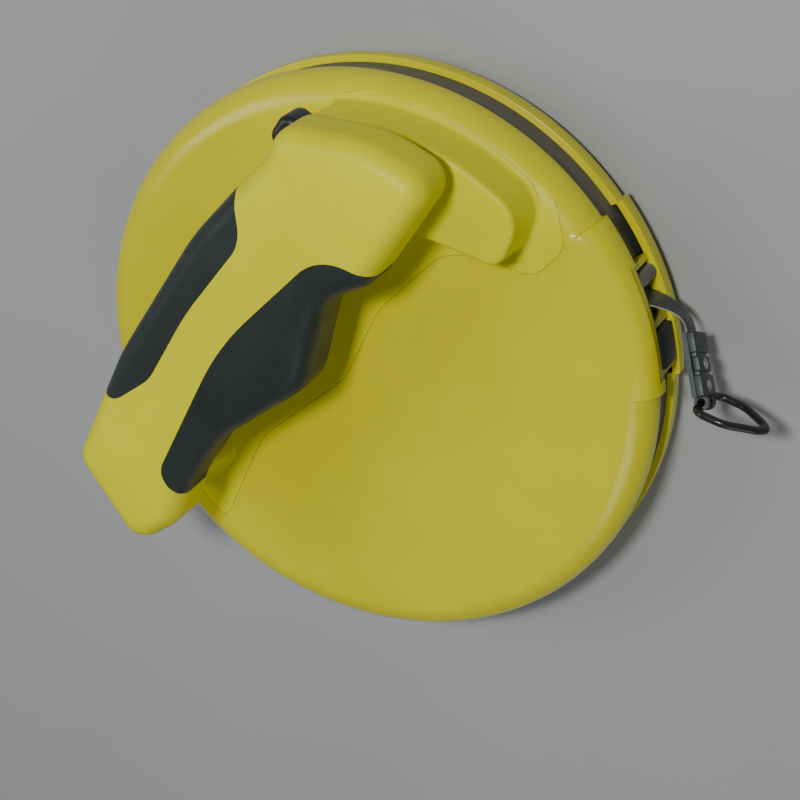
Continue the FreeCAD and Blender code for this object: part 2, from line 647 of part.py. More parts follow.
def pad_skin(region):
    core = grip_block(PAD_THICKNESS, GRIP_LOW_Z + PAD_THICKNESS, GRIP_HIGH_Z - PAD_THICKNESS)
    skin = round_edges(grip_block(), GRIP_ROUND, GRIP_HIGH_Z).cut(core)
    return skin.common(prism(region, GRIP_LOW_Z - 5, GRIP_HIGH_Z + 5))


def button_box(slack=0.0, inward=0.0):
    half_length = BUTTON_LENGTH / 2 + slack
    low = SPLIT_Z - BUTTON_HEIGHT - 0.2 - slack
    return block((HANDLE_SIDE_U - BUTTON_PROUD, BUTTON_PLACE_V - half_length, low),
                 (BUTTON_INNER_U + inward, BUTTON_PLACE_V + half_length, low + BUTTON_HEIGHT + 2 * slack))


def handle_screw_cylinders(radius, low, high):
    return [cylinder(radius, low, high, u, v) for u, v in HANDLE_SCREW_PLACES]


def lever_pin_cylinder(radius, start, end):
    return Part.makeCylinder(radius, end - start, Vector(LEVER_PIVOT_U, start, LEVER_PIVOT_Z), Vector(0, 1, 0))


def make_handle_body(front_shell, pads):
    plate = prism(PLATE_OUTLINE, PLATE_Z, FACE_Z + 2).common(front_outer())
    arc = cylinder(PEDESTAL_RADIUS, FACE_Z - 1, PEDESTAL_Z)
    pedestal = prism(PEDESTAL_OUTLINE, FACE_Z - 1, PEDESTAL_Z).common(arc)
    foot = prism(FOOT_OUTLINE, FACE_Z - 1, GRIP_LOW_Z + 1)
    lower = block((-WHOLE, -WHOLE, 0), (WHOLE, WHOLE, SPLIT_Z))
    body = grip_solid().common(lower).fuse([pedestal, foot])
    head_cavity = grip_block(GRIP_WALL, PEDESTAL_Z + GRIP_WALL, SPLIT_Z + 1)
    head_cavity = head_cavity.common(block((-WHOLE, HEAD_CAVITY_V, 0), (WHOLE, WHOLE, WHOLE)))
    low_cavity = prism(PEDESTAL_OUTLINE, FACE_Z, PEDESTAL_Z + GRIP_WALL + 1, GRIP_WALL)
    low_cavity = low_cavity.common(cylinder(PEDESTAL_RADIUS - GRIP_WALL, FACE_Z, SPLIT_Z))
    low_cavity = low_cavity.common(block((-WHOLE, 0, 0), (SPRING_ROOM_U, WHOLE, WHOLE)))
    grip_cavity = grip_block(GRIP_WALL + PAD_THICKNESS, GRIP_LOW_Z + 5, SPLIT_Z + 1)
    grip_cavity = grip_cavity.common(block((-WHOLE, GRIP_CAVITY_V[0], 0), (WHOLE, GRIP_CAVITY_V[1], WHOLE)))
    body = body.cut([head_cavity, low_cavity, grip_cavity])
    half = LEVER_WIDTH / 2
    ribs = []
    for start in (BUTTON_PLACE_V - half - 3.2, BUTTON_PLACE_V + half + 0.3):
        ribs.append(block((LEVER_PIVOT_U - 4, start, FACE_Z - 1), (LEVER_PIVOT_U + 4, start + 2.9, LEVER_PIVOT_Z + 4)))
    posts = handle_screw_cylinders(SCREW_RADIUS + PILLAR_WALL, GRIP_LOW_Z + 1, SPLIT_Z)[:3]
    body = body.fuse(ribs + posts)
    holes = [lever_pin_cylinder(LEVER_PIN_RADIUS, BUTTON_PLACE_V - 8, BUTTON_PLACE_V + 8)]
    holes.append(button_box(BUTTON_SLACK, BUTTON_TRAVEL + 0.5))
    holes += handle_screw_cylinders(SCREW_RADIUS + SLIP_GAP, FACE_Z + 1, SPLIT_Z + 1)
    holes += handle_screw_cylinders(SCREW_HEAD_RADIUS + SLIP_GAP, FACE_Z + 1, GRIP_LOW_Z + 3)[:3]
    body = turned(body.cut(holes)).fuse(plate)
    spot = plunger_place()
    guide = cylinder(PLUNGER_RADIUS + RUNNING_GAP, PLATE_Z - 1, FACE_Z + 1, spot.x, spot.y)
    return body.cut([guide, front_shell] + pads).removeSplitter()


def make_handle_cover(pads):
    upper = block((-WHOLE, -WHOLE, SPLIT_Z), (WHOLE, WHOLE, WHOLE))
    cover = grip_solid().common(upper)
    cavity = grip_block(GRIP_WALL + PAD_THICKNESS, SPLIT_Z - 1, GRIP_HIGH_Z - GRIP_WALL - PAD_THICKNESS)
    cover = cover.cut(cavity)
    posts = handle_screw_cylinders(SCREW_RADIUS + PILLAR_WALL, SPLIT_Z, GRIP_HIGH_Z - GRIP_WALL)
    cover = cover.fuse(posts)
    cover = cover.cut(handle_screw_cylinders(SCREW_RADIUS, SPLIT_Z - 1, GRIP_HIGH_Z - 7))
    return turned(cover).cut(pads).removeSplitter()


def make_handle_screws():
    screws = []
    for i, (u, v) in enumerate(HANDLE_SCREW_PLACES):
        low = GRIP_LOW_Z + 1 if i < 3 else PEDESTAL_Z - 1
        head = cylinder(SCREW_HEAD_RADIUS, low, low + SCREW_HEAD_HEIGHT, u, v)
        shank = cylinder(SCREW_RADIUS, low + SCREW_HEAD_HEIGHT, GRIP_HIGH_Z - 8, u, v)
        screws.append(turned(fused([head, shank])))
    return Part.makeCompound(screws)


# ---- thumb brake ----
def make_thumb_button():
    button = button_box()
    outer_edges = [e for e in button.Edges if e.BoundBox.XMax < HANDLE_SIDE_U - BUTTON_PROUD + 0.01]
    return turned(button.makeFillet(3.0, outer_edges))


def make_brake_lever():
    half = LEVER_WIDTH / 2
    low_v = BUTTON_PLACE_V - half
    hub = Part.makeCylinder(LEVER_HUB_RADIUS, LEVER_WIDTH, Vector(LEVER_PIVOT_U, low_v, LEVER_PIVOT_Z), Vector(0, 1, 0))
    high_v = low_v + LEVER_WIDTH
    finger_u = BUTTON_INNER_U + LEVER_GAP
    upright = block((LEVER_PIVOT_U - 2.5, low_v, LEVER_PIVOT_Z), (LEVER_PIVOT_U + 1.5, high_v, LEVER_PIVOT_Z + LEVER_UP))
    nose_z = LEVER_PIVOT_Z + LEVER_UP - 3
    nose = block((finger_u, low_v, nose_z), (LEVER_PIVOT_U, high_v, nose_z + 3))
    forward_u = LEVER_PIVOT_U + LEVER_FORWARD
    forward = block((LEVER_PIVOT_U, low_v, LEVER_PIVOT_Z - 1.5), (forward_u + 0.5, high_v, LEVER_PIVOT_Z + 1.5))
    lever = fused([hub, upright, nose, forward])
    return turned(lever.cut(lever_pin_cylinder(LEVER_PIN_RADIUS + RUNNING_GAP, low_v - 1, high_v + 1)))


def make_brake_lever_pin():
    return turned(lever_pin_cylinder(LEVER_PIN_RADIUS, BUTTON_PLACE_V - 6.5, BUTTON_PLACE_V + 6.5))


def plunger_foot_z():
    return DRUM_HIGH_Z + BRAKE_PAD_GAP + BRAKE_PAD_HEIGHT


def make_brake_plunger():
    spot = plunger_place()
    top = LEVER_PIVOT_Z - 1.5 - 0.3
    foot = cylinder(BRAKE_PAD_RADIUS, plunger_foot_z(), plunger_foot_z() + 1.5, spot.x, spot.y)
    stem = cylinder(PLUNGER_RADIUS, plunger_foot_z(), top, spot.x, spot.y)
    head = cylinder(PLUNGER_HEAD_RADIUS, top - 2, top, spot.x, spot.y)
    return fused([foot, stem, head])


def make_brake_pad():
    spot = plunger_place()
    low = DRUM_HIGH_Z + BRAKE_PAD_GAP
    return cylinder(BRAKE_PAD_RADIUS, low, low + BRAKE_PAD_HEIGHT, spot.x, spot.y)


def make_brake_spring():
    spot = plunger_place()
    low = FACE_Z + BRAKE_SPRING_WIRE / 2
    high = LEVER_PIVOT_Z - 1.8 - 2 - BRAKE_SPRING_WIRE / 2
    pitch = (high - low) / BRAKE_SPRING_TURNS
    helix = Part.makeHelix(pitch, high - low, BRAKE_SPRING_RADIUS)
    half = BRAKE_SPRING_WIRE / 2
    near = BRAKE_SPRING_RADIUS - half
    far = BRAKE_SPRING_RADIUS + half
    square = Part.makePolygon([Vector(x, 0, z) for x, z in (
        (near, -half), (far, -half), (far, half), (near, half), (near, -half))])
    coil = Part.Wire(helix).makePipeShell([square], True, True)
    coil.translate(Vector(spot.x, spot.y, low))
    return coil


# ---- tape end ----
def clamp_frame(across, along, outward):
    """A point in the case frame from distances along the end clamp's own three directions."""
    w = Vector(*CLAMP_ACROSS).normalize()
    length = Vector(*CLAMP_ALONG).normalize()
    normal = length.cross(w)
    return Vector(*CLAMP_TOP) + w * across + length * along + normal * outward


def clamp_box(width, start, end, low, high):
    corner = clamp_frame(-width / 2, start, low)
    edges_w = clamp_frame(width / 2, start, low) - corner
    edges_l = clamp_frame(-width / 2, end, low) - corner
    edges_n = clamp_frame(-width / 2, start, high) - corner
    wire = Part.makePolygon([corner, corner + edges_w, corner + edges_w + edges_l, corner + edges_l, corner])
    return Part.Face(wire).extrude(edges_n)


def clamp_length():
    return sum(CLAMP_BLOCK_LENGTHS) + 2 * CLAMP_NECK_LENGTH


def make_tape_lead():
    """The straight tail behind the mouth, and the bend outside it that turns down to the end clamp."""
    along = tape_heading()
    exit_point = Vector(*TAPE_EXIT, 0)
    tail_start = exit_point - along * (TAPE_PULL + MOUTH_FRAME_DEPTH + TAIL_SPARE)
    top = clamp_frame(0, 0, 0)
    drop = Vector(CLAMP_ALONG[0], CLAMP_ALONG[1], 0).normalize()
    poles = [tail_start, exit_point, exit_point + Vector(7.0, -3.6, 0),
             Vector(top.x, top.y, 0) - drop * 9, Vector(top.x, top.y, 0) - drop * 0.3]
    bend = Part.BSplineCurve()
    bend.interpolate(Points=[poles[1], poles[2], poles[3], poles[4]], InitialTangent=along, FinalTangent=drop)
    tail = Part.makeLine(poles[0], poles[1])
    path = Part.Wire([tail, bend.toShape()])
    half = TAPE_THICKNESS / 2
    normal = Vector(-along.y, along.x, 0)
    section = Part.makePolygon([poles[0] + normal * a + Vector(0, 0, b) for a, b in (
        (half, TAPE_LOW_Z), (half, TAPE_HIGH_Z), (-half, TAPE_HIGH_Z), (-half, TAPE_LOW_Z), (half, TAPE_LOW_Z))])
    path.translate(Vector(0, 0, TAPE_LOW_Z))
    return path.makePipeShell([section], True, False)


def make_end_clamp():
    thick = CLAMP_THICKNESS
    shapes = []
    start = 0.0
    for i, length in enumerate(CLAMP_BLOCK_LENGTHS):
        shapes.append(clamp_box(CLAMP_WIDTH - (2 if i == 1 else 0), start, start + length, 0.3, thick))
        if i < 2:
            shapes.append(clamp_box(CLAMP_NECK_WIDTH, start + length - 0.1,
                                    start + length + CLAMP_NECK_LENGTH + 0.1, 0.3, thick - NECK_DROP))
        start += length + CLAMP_NECK_LENGTH
    return fused(shapes).cut(rivet_cylinders(RIVET_RADIUS))


def make_clamp_plate():
    end = clamp_length()
    return clamp_box(CLAMP_WIDTH, 0, end, -CLAMP_BACK_THICKNESS, 0.3).cut(rivet_cylinders(RIVET_RADIUS))


def rivet_cylinders(radius, low=-CLAMP_BACK_THICKNESS, high=CLAMP_THICKNESS):
    places = (CLAMP_BLOCK_LENGTHS[0] + CLAMP_NECK_LENGTH + CLAMP_BLOCK_LENGTHS[1] / 2,
              clamp_length() - CLAMP_BLOCK_LENGTHS[2] / 2)
    outward = clamp_frame(0, 0, 1) - clamp_frame(0, 0, 0)
    return [Part.makeCylinder(radius, high - low, clamp_frame(0, place, low), outward) for place in places]


def make_clamp_rivets():
    domes = rivet_cylinders(RIVET_RADIUS + RIVET_HEAD_LIP, CLAMP_THICKNESS, CLAMP_THICKNESS + RIVET_HEAD_HEIGHT)
    return Part.makeCompound([fused([shank, dome]) for shank, dome in zip(rivet_cylinders(RIVET_RADIUS), domes)])


def ring_pivot():
    return clamp_frame(0, clamp_length() + RING_WIRE_RADIUS + RING_CLEARANCE, RING_PIVOT_LIFT)


def make_ring_eye():
    """Two curled ears at the foot of the clamp that hold the ring's straight side."""
    across = Vector(*CLAMP_ACROSS).normalize()
    ears = []
    for side in (-1, 1):
        start = ring_pivot() + across * (side * EAR_OFFSET - EAR_WIDTH / 2)
        ears.append(Part.makeCylinder(RING_WIRE_RADIUS + EAR_WALL, EAR_WIDTH, start, across))
    bore = Part.makeCylinder(RING_WIRE_RADIUS + RUNNING_GAP, 40, ring_pivot() - across * 20, across)
    return ears, bore


def make_end_ring():
    """A rounded D of wire, its straight side in the clamp's ears, drawn flat and swung out about that side."""
    half = RING_WIDTH / 2
    far = RING_LENGTH
    wire = outline(((-half, 0, 3), (half, 0, 3), (half, far * 0.45, 12), (0.001, far, 7), (-half, far * 0.45, 12)))
    start = Vector(0, 0, 0)
    section = Part.Wire(Part.makeCircle(RING_WIRE_RADIUS, start, Vector(1, 0, 0)))
    straight = [e for e in wire.Edges if abs(e.BoundBox.YMax) < 1e-6][0]
    others = [e for e in wire.Edges if not e.isSame(straight)]
    left = Part.makeLine(Vector(0, 0, 0), Vector(half - 3, 0, 0))
    right = Part.makeLine(Vector(-half + 3, 0, 0), Vector(0, 0, 0))
    path = Part.Wire([left] + Part.__sortEdges__(others) + [right])
    solid = path.makePipeShell([section], True, False)
    across = Vector(*CLAMP_ACROSS).normalize()
    along = Vector(*CLAMP_ALONG).normalize()
    normal = along.cross(across)
    swing = math.radians(RING_SWING)
    reach = along * math.cos(swing) + normal * math.sin(swing)
    third = across.cross(reach)
    pivot = ring_pivot()
    place = FreeCAD.Matrix(across.x, reach.x, third.x, pivot.x, across.y, reach.y, third.y, pivot.y,
                           across.z, reach.z, third.z, pivot.z, 0, 0, 0, 1)
    return solid.transformGeometry(place)


def build_nodes():
    pads = [turned(pad_skin(PALM_REGION)), turned(pad_skin(FINGER_REGION))]
    ears, eye_bore = make_ring_eye()
    clamp_plate = fused([make_clamp_plate()] + ears).cut(eye_bore)
    front_shell = make_front_shell()
    end_clamp = make_end_clamp().cut(clamp_plate)
    nodes = {
        "rear_shell": make_rear_shell(), "front_shell": front_shell, "rim_band": make_rim_band(),
        "case_screws": case_screw_set(), "mouth_frame": make_mouth_frame(), "mouth_bumper": make_mouth_bumper(),
        "guide_roller": make_guide_roller(), "roller_pin": make_roller_pin(),
        "drum": make_drum(), "rear_flange": make_flange(REAR_FLANGE_Z), "front_flange": make_flange(FRONT_FLANGE_Z),
        "tape_coil": make_tape_coil(), "sun_gear": make_sun_gear(), "ring_gear": make_ring_gear(),
        "planet_carrier": make_carrier(), "planet_pins": make_planet_pins(), "mainspring": make_mainspring(),
        "spring_cup": make_spring_cup(), "cup_screws": make_cup_screws(), "axle_pin": make_axle_pin(),
        "rear_bush": make_rear_bush(), "crank_hub": make_crank_hub(), "hub_screw": make_hub_screw(),
        "crank_arm": make_crank_arm(), "crank_hinge_pin": make_crank_hinge_pin(), "knob_pin": make_knob_pin(),
        "crank_knob": make_crank_knob(),
        "handle_body": make_handle_body(front_shell, pads), "handle_cover": make_handle_cover(pads),
        "palm_grip": pads[0], "finger_grip": pads[1], "handle_screws": make_handle_screws(),
        "thumb_button": make_thumb_button(), "brake_lever": make_brake_lever(),
        "brake_lever_pin": make_brake_lever_pin(), "brake_plunger": make_brake_plunger(),
        "brake_pad": make_brake_pad(), "brake_spring": make_brake_spring(),
        "tape_lead": make_tape_lead(), "end_clamp": end_clamp, "clamp_plate": clamp_plate,
        "clamp_rivets": make_clamp_rivets(), "end_ring": make_end_ring(),
    }
    for number, angle in enumerate(planet_angles(), 1):
        nodes["planet_gear_%d" % number] = make_planet(angle)
    return nodes


os.makedirs("parts", exist_ok=True)
for name, shape in build_nodes().items():
    print("%-18s solids %d volume %9.1f valid %s" % (name, len(shape.Solids), shape.Volume, shape.isValid()))
    shape.exportStep("parts/%s.step" % name)
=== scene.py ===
import math

import bmesh
import bpy
import numpy as np
from mathutils import Matrix, Vector


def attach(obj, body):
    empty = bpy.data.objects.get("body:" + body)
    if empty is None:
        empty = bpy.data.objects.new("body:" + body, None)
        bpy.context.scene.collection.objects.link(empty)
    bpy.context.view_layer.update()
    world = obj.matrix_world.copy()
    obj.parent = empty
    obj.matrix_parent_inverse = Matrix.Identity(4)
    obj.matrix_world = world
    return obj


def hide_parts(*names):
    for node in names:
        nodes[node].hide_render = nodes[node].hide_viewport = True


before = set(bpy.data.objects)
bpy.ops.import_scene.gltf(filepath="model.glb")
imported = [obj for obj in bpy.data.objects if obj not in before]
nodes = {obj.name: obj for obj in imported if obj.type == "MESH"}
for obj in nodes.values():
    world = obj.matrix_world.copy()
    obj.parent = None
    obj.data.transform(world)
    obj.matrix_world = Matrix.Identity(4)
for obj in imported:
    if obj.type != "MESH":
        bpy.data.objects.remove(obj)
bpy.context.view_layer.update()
scene = bpy.context.scene
MM = 0.001


# ---- Stage ----
# A matt pale grey floor, one small lamp beside the camera, two large soft boxes and an even grey sky.
# The camera has a 90 mm lens. It is held over the upper right of the case, and leans a little to one side.
def node_material(name):
    material = bpy.data.materials.new(name)
    material.use_nodes = True
    tree = material.node_tree
    shader = tree.nodes["Principled BSDF"]
    return material, tree, shader


def noise(tree, scale, detail=4.0, roughness=0.55, stretch=(1, 1, 1)):
    place = tree.nodes.new("ShaderNodeTexCoord")
    mapping = tree.nodes.new("ShaderNodeMapping")
    mapping.inputs["Scale"].default_value = stretch
    tree.links.new(place.outputs["Object"], mapping.inputs["Vector"])
    cloud = tree.nodes.new("ShaderNodeTexNoise")
    cloud.inputs["Scale"].default_value = scale
    cloud.inputs["Detail"].default_value = detail
    cloud.inputs["Roughness"].default_value = roughness
    tree.links.new(mapping.outputs["Vector"], cloud.inputs["Vector"])
    return cloud.outputs["Fac"]


def ramp(tree, value, stops):
    band = tree.nodes.new("ShaderNodeValToRGB")
    while len(band.color_ramp.elements) < len(stops):
        band.color_ramp.elements.new(0.5)
    for element, (at, colour) in zip(band.color_ramp.elements, stops):
        element.position = at
        element.color = (*colour, 1.0) if len(colour) == 3 else colour
    tree.links.new(value, band.inputs["Fac"])
    return band.outputs["Color"]


NOISE_LOW = 0.3
NOISE_HIGH = 0.7


def spread(tree, value, low, high):
    """Map a noise value onto a range, such as a roughness from low to high."""
    change = tree.nodes.new("ShaderNodeMapRange")
    change.inputs["From Min"].default_value = NOISE_LOW
    change.inputs["From Max"].default_value = NOISE_HIGH
    change.inputs["To Min"].default_value = low
    change.inputs["To Max"].default_value = high
    tree.links.new(value, change.inputs["Value"])
    return change.outputs["Result"]


def bump(tree, shader, value, height, strength=1.0):
    """Add one more layer of relief to a shader, on top of what it already has."""
    relief = tree.nodes.new("ShaderNodeBump")
    relief.inputs["Strength"].default_value = strength
    relief.inputs["Distance"].default_value = height
    tree.links.new(value, relief.inputs["Height"])
    if shader.inputs["Normal"].is_linked:
        tree.links.new(shader.inputs["Normal"].links[0].from_socket, relief.inputs["Normal"])
    tree.links.new(relief.outputs["Normal"], shader.inputs["Normal"])


def matt_grey():
    material, tree, shader = node_material("pale_floor")
    darker = (0.33, 0.345, 0.36)
    paler = (0.36, 0.375, 0.39)
    shade = ramp(tree, noise(tree, 3.0), ((NOISE_LOW, darker), (NOISE_HIGH, paler)))
    tree.links.new(shade, shader.inputs["Base Color"])
    shader.inputs["Roughness"].default_value = 0.75
    bump(tree, shader, noise(tree, 900.0), 0.00005, 0.4)
    return material


FLOOR_HALF = 1.5
FLOOR_HEIGHT = -0.0004
floor_signs = ((-1, -1), (1, -1), (1, 1), (-1, 1))
floor_mesh = bpy.data.meshes.new("floor")
floor_corners = [(x * FLOOR_HALF, y * FLOOR_HALF, FLOOR_HEIGHT) for x, y in floor_signs]
floor_mesh.from_pydata(floor_corners, [], [(0, 1, 2, 3)])
floor = bpy.data.objects.new("floor", floor_mesh)
scene.collection.objects.link(floor)
floor.data.materials.append(matt_grey())

CAMERA_PLACE = Vector((0.31526, 0.28477, 0.61782))
CAMERA_LOOKS = Vector((-0.42080, -0.41262, -0.80788))
CAMERA_UP = Vector((-0.10447, 0.90669, -0.40866))
CAMERA_LENS = 90.0
CAMERA_SENSOR = 36.0


def aimed(place, looks, up):
    back = -looks.normalized()
    right = up.cross(back).normalized()
    above = back.cross(right)
    turn = Matrix((right, above, back)).transposed().to_4x4()
    return Matrix.Translation(place) @ turn


camera_data = bpy.data.cameras.new("camera")
camera_data.lens = CAMERA_LENS
camera_data.sensor_width = CAMERA_SENSOR
camera = bpy.data.objects.new("camera", camera_data)
camera.matrix_world = aimed(CAMERA_PLACE, CAMERA_LOOKS, CAMERA_UP)
scene.collection.objects.link(camera)
scene.camera = camera


def soft_box(name, place, size, power, colour=(1, 1, 1)):
    light = bpy.data.lights.new(name, "AREA")
    light.shape = "RECTANGLE"
    light.size, light.size_y = size
    light.energy = power
    light.color = colour
    lamp = bpy.data.objects.new(name, light)
    lamp.matrix_world = aimed(Vector(place), -Vector(place), Vector((0, 0, 1)))
    scene.collection.objects.link(lamp)


LAMP_SIZE = (0.16, 0.12)
FILL_SIZE = (0.6, 0.6)
SKY_COLOUR = (0.85, 0.86, 0.88, 1)
SKY_STRENGTH = 0.17
soft_box("lamp", (0.20, 0.50, 1.05), LAMP_SIZE, 9.0, (1.0, 0.97, 0.93))
soft_box("left_fill", (-0.90, 0.35, 0.9), FILL_SIZE, 4.0)
soft_box("front_fill", (0.55, -0.85, 0.9), FILL_SIZE, 2.6)
sky = bpy.data.worlds.new("even_sky")
sky.use_nodes = True
background = sky.node_tree.nodes["Background"]
background.inputs["Color"].default_value = SKY_COLOUR
background.inputs["Strength"].default_value = SKY_STRENGTH
scene.world = sky


# ---- Rear shell ----
# The back half of the case is one glossy yellow ABS moulding. A round well in its back takes the winding
# crank, and six screws go up through its bosses. Its rim steps out at the tape mouth.
SHARP_ANGLE = 38.0


def smooth_mesh(piece, crease=SHARP_ANGLE):
    """Weld and tidy a mesh, and shade it smooth apart from edges sharper than the crease, in degrees."""
    mesh = piece.data
    body = bmesh.new()
    body.from_mesh(mesh)
    bmesh.ops.remove_doubles(body, verts=body.verts, dist=1e-7)
    bmesh.ops.dissolve_degenerate(body, edges=body.edges, dist=1e-8)
    bmesh.ops.recalc_face_normals(body, faces=body.faces)
    body.to_mesh(mesh)
    body.free()
    mesh.polygons.foreach_set("use_smooth", [True] * len(mesh.polygons))
    mesh.set_sharp_from_angle(angle=math.radians(crease))
    mesh.update()


def new_piece(name, points, faces):
    """A mesh object from points in millimetres."""
    mesh = bpy.data.meshes.new(name)
    mesh.from_pydata([tuple(c * MM for c in p) for p in points], [], faces)
    piece = bpy.data.objects.new(name, mesh)
    scene.collection.objects.link(piece)
    smooth_mesh(piece)
    return piece


def finish_piece(piece, body, slot, material, *stands_for):
    piece.data.materials.clear()
    piece.data.materials.append(material)
    if stands_for:
        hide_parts(*stands_for)
    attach(piece, body)


def arc(centre, radius, start, end, steps=10):
    angles = [math.radians(start + (end - start) * i / steps) for i in range(steps + 1)]
    return [(centre[0] + radius * math.cos(a), centre[1] + radius * math.sin(a)) for a in angles]


CASE_RADIUS = 108.0
CASE_WALL = 2.5
MOUTH_STEP = 2.0
MOUTH_STEP_ANGLES = (-1.0, 33.8)
STEP_RAMP = 0.25
STEP_BLEND = 8.0


def ring_angles(spacing=1.25):
    """Angles all round the case, with extra ones where the mouth step rises and falls."""
    low, high = MOUTH_STEP_ANGLES
    turns = [spacing * i for i in range(int(360 / spacing))]
    extra = [low % 360, (low + STEP_RAMP) % 360, high - STEP_RAMP, high]
    return sorted(set(turns + extra))


def step_out(angle):
    low, high = MOUTH_STEP_ANGLES
    signed = angle - 360 if angle > 180 else angle
    return MOUTH_STEP * max(0.0, min(1.0, (signed - low) / STEP_RAMP, (high - signed) / STEP_RAMP))


def lathe(name, profile, angles=None, stepped_from=None):
    """Turn a closed profile of (radius, height) about the reel axis. A part turn is closed at both ends."""
    whole = angles is None
    angles = ring_angles() if whole else angles
    points = []
    for angle in angles:
        turn = math.radians(angle)
        for radius, height in profile:
            out = radius
            if stepped_from and radius > stepped_from:
                share = min(1.0, (radius - stepped_from) / STEP_BLEND)
                out += step_out(angle) * share
            points.append((out * math.cos(turn), out * math.sin(turn), height))
    count = len(profile)
    faces = []
    stations = len(angles)
    for i in range(stations if whole else stations - 1):
        j = (i + 1) % stations
        for k in range(count):
            m = (k + 1) % count
            faces.append((i * count + k, j * count + k, j * count + m, i * count + m))
    if not whole:
        faces.append(tuple(range(count)))
        faces.append(tuple((stations - 1) * count + k for k in range(count)))
    return new_piece(name, points, faces)


def combine(piece, tool, how):
    """Join, cut or keep the shared part of two closed meshes."""
    change = piece.modifiers.new("combine", "BOOLEAN")
    change.operation = how
    change.solver = "EXACT"
    change.object = tool
    bpy.context.view_layer.update()
    made = bpy.data.meshes.new_from_object(piece.evaluated_get(bpy.context.evaluated_depsgraph_get()))
    piece.modifiers.clear()
    old = piece.data
    piece.data = made
    bpy.data.meshes.remove(old)
    bpy.data.objects.remove(tool)


def clone(piece, name):
    twin = piece.copy()
    twin.data = piece.data.copy()
    twin.name = name
    scene.collection.objects.link(twin)
    return twin


def drum_tool(radius, low, high, x, y, sides=40):
    """A plain cylinder, used only to cut holes and bosses."""
    around = [2 * math.pi * i / sides for i in range(sides)]
    points = [(x + radius * math.cos(a), y + radius * math.sin(a), z) for z in (low, high) for a in around]
    faces = [(i, (i + 1) % sides, sides + (i + 1) % sides, sides + i) for i in range(sides)]
    faces += [tuple(range(sides)), tuple(range(sides, 2 * sides))]
    return new_piece("cutter", points, faces)


def lay_over(tree, mask, under, colour):
    """Lay a plain colour over another one where the mask is white."""
    layer = tree.nodes.new("ShaderNodeMix")
    layer.data_type = "RGBA"
    first, second = [socket for socket in layer.inputs if socket.type == "RGBA"]
    tree.links.new(mask, layer.inputs["Factor"])
    tree.links.new(under, first)
    second.default_value = (*colour, 1)
    return next(socket for socket in layer.outputs if socket.type == "RGBA")


def moulded(name, colour, rough, grain=0.0, wave=0.0, soil=0.0, shine=0.5):
    """Moulded plastic: slow shifts of colour, faint flow waves, fine grain, and marks in the gloss."""
    material, tree, shader = node_material(name)
    paler = tuple(min(1.0, c * 1.05 + 0.003) for c in colour)
    deeper = tuple(c * 0.93 for c in colour)
    base = ramp(tree, noise(tree, 14.0, 3.0), ((0.32, deeper), (0.68, paler)))
    if soil:
        specks = ramp(tree, noise(tree, 240.0, 6.0, 0.7), ((0.66, (0, 0, 0)), (0.78, (soil, soil, soil))))
        base = lay_over(tree, specks, base, [c * 0.35 for c in colour])
    tree.links.new(base, shader.inputs["Base Color"])
    marks = noise(tree, 55.0, 8.0, 0.65)
    tree.links.new(spread(tree, marks, rough * 0.82, rough * 1.22), shader.inputs["Roughness"])
    if wave:
        bump(tree, shader, noise(tree, 22.0, 1.0), wave, 0.6)
    if grain:
        bump(tree, shader, noise(tree, 2600.0, 2.0), grain, 0.5)
    shader.inputs["Specular IOR Level"].default_value = shine
    return material


CASE_YELLOW = moulded("case_yellow", (0.64, 0.60, 0.0), 0.25, wave=0.0002, soil=0.5)
REAR_HEIGHT = 13.0
REAR_ROUND = 9.0
WELL_RADIUS = 42.0
WELL_OUTER = WELL_RADIUS + CASE_WALL
WELL_DEPTH = 9.3
WELL_TOP = 11.3
WELL_EDGE = 0.6
BUSH_RADIUS = 12.0
EDGE = 0.35
INNER_ROUND = 6.0
INNER_CORNER = CASE_WALL + INNER_ROUND
REAR_STEP_FROM = 98.0

rear_profile = [(BUSH_RADIUS, WELL_DEPTH), (WELL_RADIUS, WELL_DEPTH), (WELL_RADIUS, WELL_EDGE)]
rear_profile += arc((WELL_RADIUS + WELL_EDGE, WELL_EDGE), WELL_EDGE, 180, 270, 4)
rear_profile += arc((CASE_RADIUS - REAR_ROUND, REAR_ROUND), REAR_ROUND, 270, 360, 16)
rear_profile += arc((CASE_RADIUS - EDGE, REAR_HEIGHT - EDGE), EDGE, 0, 90, 3)
rear_profile += [(CASE_RADIUS - CASE_WALL, REAR_HEIGHT)]
rear_profile += arc((CASE_RADIUS - INNER_CORNER, INNER_CORNER), INNER_ROUND, 0, -90, 8)
rear_profile += [(WELL_OUTER, CASE_WALL), (WELL_OUTER, WELL_TOP), (BUSH_RADIUS, WELL_TOP)]
rear_shell = lathe("rear_shell_moulding", rear_profile, stepped_from=REAR_STEP_FROM)
SCREW_CIRCLE = 99.0
SCREW_ANGLES = (60, 120, 180, 240, 300, 352)
SCREW_PORT_RADIUS = 2.95
SCREW_PORT_DEPTH = 3.0
for angle in SCREW_ANGLES:
    x = SCREW_CIRCLE * math.cos(math.radians(angle))
    y = SCREW_CIRCLE * math.sin(math.radians(angle))
    combine(rear_shell, drum_tool(SCREW_PORT_RADIUS, -2, SCREW_PORT_DEPTH, x, y), "DIFFERENCE")
smooth_mesh(rear_shell)
finish_piece(rear_shell, "case", "yellow_case", CASE_YELLOW, "rear_shell")


# ---- Rim band ----
# A dark grey band, slightly dished, closes the gap between the two shells and sits 2.6 mm below them.
# It is a separate moulding, open where the tape mouth is let in.
DARK_BAND = moulded("dark_band", (0.085, 0.085, 0.078), 0.42, grain=0.00003)
BAND_LOW = 13.0
BAND_HIGH = 27.5
BAND_LAP = 3.0
BAND_RADIUS = 105.4
BAND_INNER = 102.6
BAND_DISH = 0.3
BAND_GAP_ANGLES = (1.2, 23.5)


